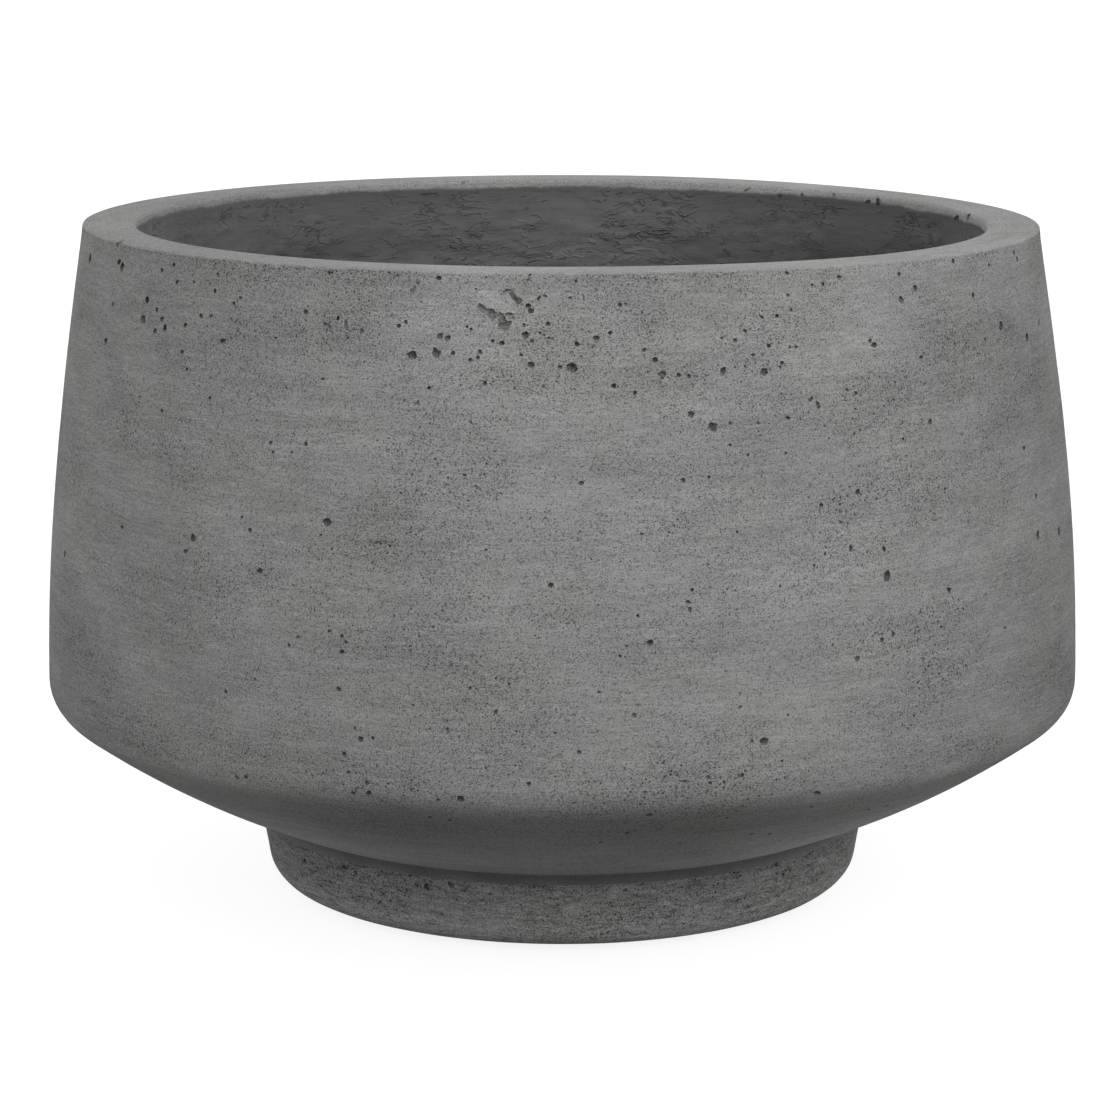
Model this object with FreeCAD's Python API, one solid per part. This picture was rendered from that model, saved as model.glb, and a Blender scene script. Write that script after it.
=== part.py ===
import FreeCAD, Part
import math
import os

# A footed planter bowl in fibre cement. Millimetres, +Z up, the axis of the pot on Z,
# and the underside of the foot pads on Z = 0.

# Outer form of the bowl
pot_height = 258.0
rim_radius = 182.8
belly_radius = 200.0
wall_fullness_share = 0.39
shoulder_radius = 14.7
dish_radius = 326.7

# Layers of the bowl's wall
face_thickness = 7.0
backing_thickness = 9.0
bond_gap = 0.3

# Rim and mouth
rim_width = 20.0
rim_depth = 5.0
rim_outer_edge_radius = 1.8
rim_inner_edge_radius = 4.0
mouth_land_height = 15.0
mouth_flare_height = 24.0

# Foot ring and its mortar
foot_height = 30.0
foot_top_radius = 119.0
foot_base_radius = 114.0
foot_edge_radius = 12.4
foot_bore_radius = 80.0
foot_bore_edge_radius = 3.0
mortar_thickness = 2.4
mortar_inset = 2.0

# Drain sleeve
sleeve_radius = 14.0
sleeve_wall = 2.5
sleeve_fit_gap = 0.3
sleeve_flange_radius = 22.0
sleeve_flange_thickness = 2.5
sleeve_flange_edge_radius = 1.0
sleeve_seat_depth = 1.0

# Drain plug
plug_fit_gap = 0.3
plug_taper = 1.0
plug_end_inset = 2.0
plug_flange_radius = 17.0
plug_flange_thickness = 3.0
plug_grip_radius = 11.0
plug_grip_rise = 6.0
plug_grip_thickness = 6.0
plug_edge_radius = 1.2

# Foot pads
pad_count = 4
pad_radius = 8.0
pad_thickness = 3.0
pad_pocket_depth = 1.0
pad_fit_gap = 0.3
pad_edge_radius = 0.6

# How far a cut runs past its piece, and how close two measures are to count as one
cut_overrun = 20.0
match_tolerance = 0.01

# Heights and radii that follow from the sizes above
foot_base_z = pad_thickness - pad_pocket_depth
rim_z = foot_base_z + pot_height
rim_underside_z = rim_z - rim_depth
crease_z = foot_base_z + foot_height
dish_centre_z = crease_z + math.sqrt(dish_radius**2 - foot_top_radius**2)
dish_bottom_z = dish_centre_z - dish_radius
mouth_radius = rim_radius - rim_width
drain_hole_radius = sleeve_radius + sleeve_fit_gap
backing_outer_depth = face_thickness + bond_gap
backing_inner_depth = backing_outer_depth + backing_thickness
sleeve_seat_z = dish_bottom_z + backing_inner_depth - sleeve_seat_depth
sleeve_top_z = sleeve_seat_z + sleeve_flange_thickness
sleeve_bore_radius = sleeve_radius - sleeve_wall
plug_top_z = sleeve_top_z + plug_flange_thickness

Z_AXIS = FreeCAD.Vector(0, 0, 1)
ON_AXIS = FreeCAD.Vector(0, 0, 0)


def section_point(point):
    """A (radius, height) pair as a point of the half section, in the XZ plane."""
    radius, height = point
    return FreeCAD.Vector(radius, 0, height)


def line(start, end):
    return Part.LineSegment(section_point(start), section_point(end)).toShape()


def polyline(points):
    return [line(start, end) for start, end in zip(points, points[1:])]


def arc_about(centre, start, end):
    """The shorter arc from start to end about a centre in the half section."""
    middle = section_point(centre)
    first = section_point(start) - middle
    last = section_point(end) - middle
    halfway = first + last
    halfway.normalize()
    return Part.Arc(section_point(start), middle + halfway * first.Length, section_point(end)).toShape()


def bent_curve(start, pole, end):
    curve = Part.BezierCurve()
    curve.setPoles([section_point(start), section_point(pole), section_point(end)])
    return curve.toShape()


def turned(edges):
    """The solid that a closed half section makes when it is turned about the Z axis."""
    outline = Part.Wire(Part.__sortEdges__(edges))
    return Part.Face(outline).revolve(ON_AXIS, Z_AXIS, 360)


def ring_edges(solid, radius, height):
    """The round edges of a turned solid at one radius and height."""
    found = []
    for edge in solid.Edges:
        curve = edge.Curve
        if not isinstance(curve, Part.Circle):
            continue
        if abs(curve.Radius - radius) < match_tolerance and abs(curve.Center.z - height) < match_tolerance:
            found.append(edge)
    return found


def rounded(solid, radius, height, edge_radius):
    return solid.makeFillet(edge_radius, ring_edges(solid, radius, height))


def dish_z(surface_radius, distance):
    """The height of a dish surface at a distance from the axis."""
    return dish_centre_z - math.sqrt(surface_radius**2 - distance**2)


def shoulder_centre(depth):
    """The centre of the shoulder's rounding on the surface that lies depth inside the outer face."""
    out = belly_radius - depth - shoulder_radius
    reach = dish_radius - depth - shoulder_radius
    return out, dish_centre_z - math.sqrt(reach**2 - out**2)


def wall_pole_z(belly_z, top_z):
    return belly_z + wall_fullness_share * (top_z - belly_z)


def wall_radius(height):
    """The radius of the outer wall at a height between the belly and the rim."""
    belly_z = shoulder_centre(0)[1]
    pole_z = wall_pole_z(belly_z, rim_z)
    square = rim_z - 2 * pole_z + belly_z
    slope = 2 * (rim_z - pole_z)
    drop = rim_z - height
    along = 2 * drop / (slope + math.sqrt(slope**2 - 4 * square * drop))
    return belly_radius - (belly_radius - rim_radius) * (1 - along)**2


def bowl_surface(depth, top_z):
    """The top point, the drain point and the edges of the bowl surface that lies depth inside the outer face."""
    side = belly_radius - depth
    dish = dish_radius - depth
    corner = shoulder_centre(depth)
    stretch = dish / (dish - shoulder_radius)
    top = (wall_radius(top_z) - depth, top_z)
    belly = (side, corner[1])
    toe = (corner[0] * stretch, dish_centre_z + (corner[1] - dish_centre_z) * stretch)
    drain = (drain_hole_radius, dish_z(dish, drain_hole_radius))
    edges = [
        bent_curve(top, (side, wall_pole_z(corner[1], top_z)), belly),
        arc_about(corner, belly, toe),
        arc_about((0, dish_centre_z), toe, drain),
    ]
    return top, drain, edges


def make_face_shell():
    """The cement casting: wall, shoulder and dish, with the rim turned in over the backing's edge."""
    outer_top, outer_drain, outer_edges = bowl_surface(0, rim_z)
    inner_top, inner_drain, inner_edges = bowl_surface(face_thickness, rim_underside_z)
    lip = (mouth_radius, rim_underside_z)
    rim = polyline([inner_top, lip, (mouth_radius, rim_z), outer_top])
    shell = turned(outer_edges + inner_edges + rim + [line(outer_drain, inner_drain)])
    shell = rounded(shell, rim_radius, rim_z, rim_outer_edge_radius)
    return rounded(shell, mouth_radius, rim_z, rim_inner_edge_radius)


def make_fibre_backing():
    """The mat inside the face: a straight land below the rim, a flare, and the wall down to the drain seat."""
    top_z = rim_underside_z - bond_gap
    land_z = top_z - mouth_land_height
    outer_top, outer_drain, outer_edges = bowl_surface(backing_outer_depth, top_z)
    inner_top, inner_drain, inner_edges = bowl_surface(backing_inner_depth, land_z - mouth_flare_height)
    mouth = polyline([outer_top, (mouth_radius, top_z), (mouth_radius, land_z), inner_top])
    backing = turned(outer_edges + inner_edges + mouth + [line(outer_drain, inner_drain)])
    seat_corner = FreeCAD.Vector(0, 0, sleeve_seat_z)
    seat = Part.makeCylinder(sleeve_flange_radius + sleeve_fit_gap, cut_overrun, seat_corner, Z_AXIS)
    return backing.cut(seat)


def foot_lean():
    """The angle by which the foot's side leans out from the vertical."""
    return math.atan2(foot_top_radius - foot_base_radius, foot_height)


def pad_centres():
    """Places for the pads, even about the axis, along the middle of the foot's flat underside."""
    edge_reach = foot_edge_radius / math.tan((math.pi / 2 + foot_lean()) / 2)
    flat_outer = foot_base_radius - edge_reach
    flat_inner = foot_bore_radius + foot_bore_edge_radius
    pitch_radius = (flat_outer + flat_inner) / 2
    step = 2 * math.pi / pad_count
    turns = [(number + 1 / 2) * step for number in range(pad_count)]
    return [(pitch_radius * math.cos(turn), pitch_radius * math.sin(turn)) for turn in turns]


def make_foot_ring():
    """The ring under the dish, its top hollowed to the mortar and its underside pocketed for the pads."""
    corners = [
        (foot_bore_radius, foot_base_z),
        (foot_base_radius, foot_base_z),
        (foot_top_radius, crease_z),
        (foot_bore_radius, crease_z),
    ]
    ring = turned(polyline(corners + corners[:1]))
    ring = rounded(ring, foot_base_radius, foot_base_z, foot_edge_radius)
    ring = rounded(ring, foot_bore_radius, foot_base_z, foot_bore_edge_radius)
    ring = ring.cut(Part.makeSphere(dish_radius + mortar_thickness, FreeCAD.Vector(0, 0, dish_centre_z)))
    for x, y in pad_centres():
        below = FreeCAD.Vector(x, y, foot_base_z - cut_overrun)
        pocket_height = cut_overrun + pad_pocket_depth
        ring = ring.cut(Part.makeCylinder(pad_radius + pad_fit_gap, pocket_height, below, Z_AXIS))
    return ring


def make_mortar_bed():
    """The bed between the dish and the foot ring, raked back from both of the ring's faces."""
    upper = dish_radius + bond_gap
    lower = dish_radius + mortar_thickness - bond_gap
    inner = foot_bore_radius + mortar_inset
    outer = foot_top_radius - mortar_inset
    top_inner = (inner, dish_z(upper, inner))
    top_outer = (outer, dish_z(upper, outer))
    bottom_inner = (inner, dish_z(lower, inner))
    bottom_outer = (outer, dish_z(lower, outer))
    centre = (0, dish_centre_z)
    return turned([
        arc_about(centre, top_inner, top_outer),
        line(top_outer, bottom_outer),
        arc_about(centre, bottom_outer, bottom_inner),
        line(bottom_inner, top_inner),
    ])


def make_drain_sleeve():
    """The lining of the drain hole, hung by its flange from the seat in the backing."""
    corners = [
        (sleeve_bore_radius, sleeve_top_z),
        (sleeve_flange_radius, sleeve_top_z),
        (sleeve_flange_radius, sleeve_seat_z),
        (sleeve_radius, sleeve_seat_z),
        (sleeve_radius, dish_bottom_z),
        (sleeve_bore_radius, dish_bottom_z),
    ]
    sleeve = turned(polyline(corners + corners[:1]))
    return rounded(sleeve, sleeve_flange_radius, sleeve_top_z, sleeve_flange_edge_radius)


def make_drain_plug():
    """The stopper: a tapered stem, a flange that rests on the sleeve, and a round-topped grip."""
    stem_top = sleeve_bore_radius - plug_fit_gap
    stem_z = dish_bottom_z + plug_end_inset
    corners = [
        (0, plug_top_z),
        (plug_flange_radius, plug_top_z),
        (plug_flange_radius, sleeve_top_z),
        (stem_top, sleeve_top_z),
        (stem_top - plug_taper, stem_z),
        (0, stem_z),
    ]
    stopper = turned(polyline(corners + corners[:1]))
    stopper = rounded(stopper, plug_flange_radius, plug_top_z, plug_edge_radius)
    stopper = rounded(stopper, stem_top - plug_taper, stem_z, plug_edge_radius)
    return stopper.fuse(make_plug_grip()).removeSplitter()


def make_plug_grip():
    """The upright tab that a hand pulls, rooted in the middle of the plug's flange."""
    root_z = plug_top_z - plug_flange_thickness / 2
    rise_z = plug_top_z + plug_grip_rise
    left_root = (-plug_grip_radius, root_z)
    right_root = (plug_grip_radius, root_z)
    left_rise = (-plug_grip_radius, rise_z)
    right_rise = (plug_grip_radius, rise_z)
    crown = (0, rise_z + plug_grip_radius)
    top = Part.Arc(section_point(right_rise), section_point(crown), section_point(left_rise)).toShape()
    sides = polyline([left_rise, left_root, right_root, right_rise])
    tab = Part.Face(Part.Wire(Part.__sortEdges__(sides + [top])))
    tab.translate(FreeCAD.Vector(0, -plug_grip_thickness / 2, 0))
    grip = tab.extrude(FreeCAD.Vector(0, plug_grip_thickness, 0))
    over_root = [edge for edge in grip.Edges if edge.BoundBox.ZMax > root_z + match_tolerance]
    across = [edge for edge in over_root if edge.BoundBox.YLength < match_tolerance]
    return grip.makeFillet(plug_edge_radius, across)


def make_foot_pad(x, y):
    pad = Part.makeCylinder(pad_radius, pad_thickness, FreeCAD.Vector(x, y, 0), Z_AXIS)
    return rounded(pad, pad_radius, 0, pad_edge_radius)


def make_parts():
    """Every piece of the pot by its name."""
    parts = {
        "face_shell": make_face_shell(),
        "fibre_backing": make_fibre_backing(),
        "foot_ring": make_foot_ring(),
        "mortar_bed": make_mortar_bed(),
        "drain_sleeve": make_drain_sleeve(),
        "drain_plug": make_drain_plug(),
    }
    for number, (x, y) in enumerate(pad_centres(), start=1):
        parts[f"foot_pad_{number}"] = make_foot_pad(x, y)
    return parts


os.makedirs("parts", exist_ok=True)
for name, shape in make_parts().items():
    shape.exportStep(f"parts/{name}.step")
    box = shape.optimalBoundingBox()
    print(f"{name}: {len(shape.Solids)} solid, valid {shape.isValid()}, volume {shape.Volume:.0f} mm3,"
          f" width {box.XLength:.2f} mm, heights {box.ZMin:.2f} to {box.ZMax:.2f} mm")
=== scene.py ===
import math
import random

import bpy
from bpy.props import FloatProperty, FloatVectorProperty, IntProperty, PointerProperty
from mathutils import Matrix, Vector


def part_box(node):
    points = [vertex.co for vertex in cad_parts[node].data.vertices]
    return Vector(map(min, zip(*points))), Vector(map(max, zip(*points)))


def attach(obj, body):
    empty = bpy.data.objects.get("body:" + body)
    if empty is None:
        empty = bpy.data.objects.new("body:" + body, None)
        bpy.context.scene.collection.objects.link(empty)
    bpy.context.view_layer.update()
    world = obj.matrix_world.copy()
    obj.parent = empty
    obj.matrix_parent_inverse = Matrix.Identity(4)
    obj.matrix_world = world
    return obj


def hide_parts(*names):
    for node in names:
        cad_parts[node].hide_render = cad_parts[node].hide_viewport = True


bl_info = {
    "name": "Footed Cement Flower Pot",
    "version": (1, 0, 0),
    "blender": (4, 5, 0),
    "location": "3D View > Sidebar > Flower Pot",
    "description": "Models and finishes a pitted fibre-cement flower pot around its frame",
    "category": "Object",
}

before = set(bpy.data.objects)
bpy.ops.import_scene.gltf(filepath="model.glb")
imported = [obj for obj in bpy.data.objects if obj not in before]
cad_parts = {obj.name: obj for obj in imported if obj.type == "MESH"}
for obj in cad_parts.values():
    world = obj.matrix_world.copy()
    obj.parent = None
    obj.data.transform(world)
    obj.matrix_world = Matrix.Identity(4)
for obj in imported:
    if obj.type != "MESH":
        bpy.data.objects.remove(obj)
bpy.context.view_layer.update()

# Places that the frame fixes, in metres
sleeve_low, sleeve_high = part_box("drain_sleeve")
plug_low, plug_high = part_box("drain_plug")
RIM_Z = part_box("face_shell")[1].z
BELLY_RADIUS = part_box("face_shell")[1].x
LINING_TOP_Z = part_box("fibre_backing")[1].z
FOOT_BASE_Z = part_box("foot_ring")[0].z
PAD_NODES = [node for node in sorted(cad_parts) if node.startswith("foot_pad_")]

# The photograph that the pits are placed by, and how fine the meshes are
PHOTO_WIDTH = 1120
SENSOR_WIDTH = 36.0
WELD = 1e-5
FACE_STEPS = 384
LINING_STEPS = 448
FOOT_STEPS = 320
SMALL_STEPS = 96
FACE_STEP = 0.0034
FINE_STEP = 0.0006
LINING_STEP = 0.0019
HIDDEN_STEP = 0.02
SMOOTH_ANGLE = math.radians(32)
GRIP_BEVEL_ANGLE = math.radians(50)

# Across and up, where the rim's dip and draw start and where they are whole
SAG_ACROSS = (0.02, 0.19)
SAG_UP = (0.15, 0.25)

# Where each ring under a pad starts, and a ring's corners, in shares of the pad's radius and its own depth
PAD_RINGS = (0.28, 0.60)
PAD_RING_CORNERS = ((0.0, 0.0), (0.05, 1.0), (0.12, 1.0), (0.17, 0.0))

# How many uneven balls the pits are cut with, how fine those are, how far a pit's middle is sunk, and up to
# how many pixels long a pit is cut with the coarser ones
FACE_BALLS = 4
FOOT_BALLS = 3
SMALL_PIT_DETAIL = 2
LARGE_PIT_DETAIL = 3
PIT_SINK = 0.3
SMALL_PIT = 6

# How deep the pits are by half their width, and how much painted shade their cut faces get, more on the
# faces that look down
WALL_PIT_DEPTH = 1.5
SHOULDER_PIT_DEPTH = 1.3
FOOT_PIT_DEPTH = 1.1
CHIP_DEPTH = 0.8
SCAR_DEPTH = 0.22
SCAR_LEAN = 0.25
LARGE_PIT_HOLLOW = 0.52
SMALL_PIT_HOLLOW = 0.85
SHOULDER_PIT_HOLLOW = 1.0
FOOT_PIT_HOLLOW = 0.6
SCAR_HOLLOW = 0.6
CHIP_HOLLOW = 0.3
POCKET_HOLLOW = 0.3

# Pits placed at random: the turns about the axis that the photograph hides, half their width, which is the
# smallest one and a usual and a greatest addition, and their length and depth by half that width
UNSEEN_TURNS = (math.radians(84), math.radians(276))
SMALLEST_PIT = 0.0004
WALL_PIT_GROWTH = (0.00045, 0.0016)
DISH_PIT_GROWTH = (0.0004, 0.0013)
WALL_PIT_STRETCH = (1.0, 1.7)
DISH_PIT_STRETCH = (1.0, 1.8)
UNSEEN_PIT_DEPTH = (0.8, 1.4)

# What the finishes and the light share: where noise lies for the most part, how softly specks end, colours,
# and the directions up and back between which the surround's light changes
NOISE_RANGE = (0.3, 0.7)
DOT_SOFTNESS = 0.35
DUST_COLOUR = (0.24, 0.24, 0.23, 1.0)
WHITE = (1.0, 1.0, 1.0, 1.0)
SURROUND_RISE = (0.0, 0.3)
SURROUND_FALL = (0.5, 0.9)
SURROUND_BACK = (-0.3, 0.5)

# Pits that the photograph shows: x, y, length, width and, where it slants, the turn in degrees, all in
# pixels of the photograph
UPPER_WALL_PITS = (
    (412, 355, 10, 8), (436, 353, 9, 8), (453, 353, 5, 4), (440, 336, 7, 5), (448, 338, 6, 5),
    (399, 326, 5, 4), (406, 322, 4, 4), (362, 331, 7, 3), (439, 278, 6, 5), (476, 289, 3, 2),
    (528, 306, 6, 5), (531, 311, 7, 5), (525, 335, 8, 6, -30), (524, 325, 5, 3, 90), (532, 341, 5, 3),
    (502, 343, 6, 5), (493, 341, 5, 3), (471, 329, 4, 3), (467, 327, 3, 3), (521, 355, 4, 3),
    (540, 333, 3, 3), (544, 335, 2.5, 2.5), (549, 338, 3, 2.5), (548, 324, 5, 4), (531, 365, 8, 6),
    (560, 367, 5, 4), (572, 368, 12, 9), (577, 344, 6, 5), (596, 338, 7, 5), (610, 333, 4, 4),
    (614, 386, 6, 5), (635, 393, 4, 4), (644, 350, 4, 4), (655, 360, 6, 5), (662, 374, 9, 5),
    (679, 375, 5, 4), (689, 376, 4, 4), (691, 414, 7, 6), (485, 383, 5, 4), (429, 388, 4, 4),
    (470, 360, 5, 4), (478, 358, 4, 4), (480, 352, 5, 4), (570, 298, 4, 3), (620, 305, 4, 4),
    (530, 275, 4, 2.5), (528, 280, 4, 2), (576, 281, 3, 3), (329, 273, 4, 3), (306, 312, 6, 4, -25),
    (323, 379, 4, 3), (418, 402, 3, 3), (713, 427, 10, 8), (723, 371, 8, 6, -40), (764, 372, 8, 7),
    (782, 363, 5, 4, -50), (780, 367, 3, 3), (769, 346, 4, 4), (790, 347, 3, 3), (796, 347, 4, 3),
    (753, 355, 4, 3), (735, 340, 4, 4), (722, 338, 3, 3), (745, 331, 4, 3), (762, 317, 4, 3),
    (777, 316, 4, 4), (791, 310, 4, 3), (788, 295, 4, 3), (787, 273, 6, 3), (812, 285, 3, 3),
    (823, 284, 4, 3), (839, 277, 5, 4), (847, 390, 4, 3), (856, 393, 4, 3), (758, 423, 4, 3),
    (788, 418, 5, 4), (730, 423, 3, 3), (730, 445, 4, 3), (870, 341, 4, 4), (874, 345, 6, 5, 45),
    (899, 274, 5, 3, 90), (901, 300, 8, 4, 90), (915, 288, 6, 4, 100), (921, 357, 4, 4),
    (953, 261, 5, 3, 100), (973, 295, 5, 3, 90), (1001, 326, 9, 4, 95), (1014, 253, 4, 3, 90),
    (1017, 259, 5, 2.5, 90), (1027, 337, 10, 3, 90), (930, 422, 8, 3, 100), (985, 339, 3, 3),
    (811, 399, 8, 3, -40),
)
LEFT_WALL_PITS = (
    (118, 243, 6, 4, 100), (122, 241, 4, 3), (90, 258, 9, 4, 100), (119, 262, 5, 4),
    (122, 267, 8, 4, 115), (174, 265, 4, 3, 90), (177, 282, 4, 3, 90), (162, 270, 4, 3, 110),
    (147, 300, 6, 4, 100), (143, 319, 7, 5, 110), (113, 304, 5, 2, 90), (106, 341, 6, 3, 110),
    (157, 310, 5, 2.5, 80), (162, 319, 5, 3, 90), (165, 328, 6, 4, 90), (155, 331, 4, 4),
    (201, 316, 4, 4), (185, 325, 5, 3), (223, 341, 8, 4, -25), (182, 352, 5, 3, 90), (187, 369, 4, 3),
    (234, 303, 3, 3), (241, 298, 4, 3), (276, 338, 3, 2.5), (218, 274, 3, 2.5), (215, 291, 5, 2.5, 90),
    (194, 282, 4, 2, 90), (210, 398, 4, 3, 90), (162, 411, 4, 3, 90), (306, 444, 4, 4), (271, 443, 4, 3),
    (273, 452, 3, 3), (292, 452, 3, 2.5), (327, 522, 9, 8), (321, 535, 3, 3), (332, 549, 3, 3),
    (242, 517, 3, 3), (250, 530, 4, 4), (260, 571, 6, 5), (193, 538, 7, 5, 90), (186, 551, 5, 4),
    (122, 527, 4, 3, 90), (65, 554, 9, 2, 90), (211, 316, 6, 2, -10), (329, 631, 3, 3),
)
MIDDLE_WALL_PITS = (
    (464, 475, 3, 3), (581, 483, 6, 4), (683, 480, 6, 4), (709, 477, 4, 3), (551, 585, 6, 5),
    (692, 590, 4, 4), (688, 602, 6, 4), (690, 609, 5, 3), (486, 550, 3, 3), (642, 534, 5, 3),
    (638, 616, 4, 3), (650, 643, 7, 6), (627, 646, 3, 3), (620, 656, 4, 3), (433, 627, 3, 3),
    (342, 636, 4, 4), (346, 642, 4, 3), (342, 652, 6, 5), (289, 645, 3, 3), (298, 637, 4, 3),
    (339, 689, 6, 4), (226, 692, 4, 3, 90), (255, 679, 3, 2.5), (470, 688, 4, 3), (509, 684, 3, 3),
    (599, 692, 3, 3), (634, 715, 5, 4), (496, 712, 5, 4), (447, 729, 3, 3), (555, 733, 3, 3),
    (579, 752, 5, 4, -30), (413, 705, 3, 3), (858, 492, 5, 5), (821, 505, 5, 4), (840, 504, 3, 2.5),
    (903, 439, 3, 3), (737, 532, 3, 3), (786, 453, 3, 3), (748, 455, 3, 3), (851, 548, 7, 4, 90),
    (884, 549, 5, 4, 100), (887, 576, 13, 7, 105), (825, 554, 3, 3), (814, 565, 3, 3), (780, 586, 3, 3),
    (949, 590, 6, 4, 100), (1036, 496, 5, 3, 90), (1038, 535, 12, 3, 100), (945, 489, 3, 2.5),
    (1024, 448, 5, 2.5, 90), (857, 659, 7, 4, 90), (882, 640, 6, 4), (893, 634, 8, 2.5, 75),
    (941, 627, 3, 2.5), (966, 666, 3, 2.5), (764, 741, 9, 8), (752, 741, 4, 3), (740, 707, 4, 3),
    (788, 715, 3, 2.5), (361, 739, 6, 5, 90), (373, 738, 4, 3), (355, 728, 3, 3), (344, 754, 5, 4),
    (1039, 322, 7, 2, 95), (989, 265, 4, 2, 95), (1059, 531, 8, 3, 95), (1005, 628, 3, 2.5),
    (782, 761, 3, 3),
)
SHOULDER_PITS = (
    (367, 783, 5, 4), (369, 793, 7, 4), (353, 793, 5, 3), (349, 772, 5, 3, 20), (237, 777, 5, 3),
    (246, 777, 4, 3), (529, 784, 5, 4), (461, 799, 7, 6), (438, 800, 4, 3), (685, 781, 4, 3),
    (710, 783, 5, 3), (708, 777, 5, 3, 30), (724, 782, 4, 3), (645, 792, 3, 3), (742, 775, 5, 4, 90),
    (817, 793, 9, 3), (649, 815, 6, 3), (450, 820, 4, 2), (430, 817, 5, 2), (627, 833, 5, 2, 20),
    (601, 842, 6, 2), (727, 818, 4, 2), (811, 807, 5, 2), (868, 810, 4, 2), (751, 834, 5, 2),
    (680, 843, 4, 2), (769, 834, 5, 2), (886, 806, 4, 2),
)
FOOT_PITS = (
    (427, 887, 8, 6, 80), (417, 885, 6, 3), (451, 885, 8, 4), (407, 890, 3, 3), (491, 894, 3, 3),
    (384, 894, 3, 3), (305, 861, 4, 3, 90), (344, 867, 6, 3, 20), (356, 873, 5, 3, 20), (625, 890, 5, 4),
    (738, 899, 3, 3), (783, 875, 4, 3, 90), (653, 914, 3, 3), (585, 916, 3, 3), (776, 864, 6, 4, 60),
    (684, 876, 4, 3),
)
RIM_CHIPS = (
    (868, 202, 6, 5), (878, 202, 9, 4), (957, 219, 9, 5, 30), (968, 218, 6, 4, 40), (973, 228, 5, 3, 90),
    (780, 196, 5, 3), (747, 190, 9, 2.5), (802, 195, 4, 3), (834, 195, 6, 3), (463, 183, 6, 2.5),
)
FLAKE_SCARS = (
    (483, 309, 15, 9, 15), (492, 314, 15, 9, 30), (502, 320, 18, 14, 20), (505, 325, 16, 10, 10),
    (509, 314, 13, 6, -10), (508, 291, 14, 8, 45), (514, 297, 16, 9, 45), (519, 301, 10, 6, 30),
    (539, 298, 9, 3.5, -35), (545, 296, 7, 3.5, 25), (413, 290, 12, 5, -55), (418, 283, 10, 4, -55),
    (328, 326, 12, 9, 60), (338, 318, 12, 4, -10), (346, 324, 11, 4, 75), (818, 405, 10, 6, 40),
)

# Pale patches of filler that the photograph shows: x, y and width, in pixels
FILLER_SPOTS = (
    (833, 354, 14), (346, 323, 9), (121, 327, 8), (484, 297, 13), (494, 300, 17), (503, 303, 16),
    (511, 307, 11),
)


def amount(name, description, default, **limits):
    """A value that a user may change."""
    return FloatProperty(name=name, description=description, default=default, **limits)


def length(name, description, default):
    """A size in metres."""
    return amount(name, description, default, min=0.0, unit="LENGTH", precision=5)


def share(name, description, default):
    """A part of a whole, from nothing to all."""
    return amount(name, description, default, min=0.0, max=1.0, subtype="FACTOR")


def angle(name, description, degrees):
    return amount(name, description, math.radians(degrees), subtype="ANGLE")


def whole(name, description, default):
    return IntProperty(name=name, description=description, default=default)


def colour(name, description, default):
    """A surface colour, in linear light."""
    limits = {"min": 0.0, "max": 1.0, "subtype": "COLOR"}
    return FloatVectorProperty(name=name, description=description, default=default, **limits)


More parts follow.
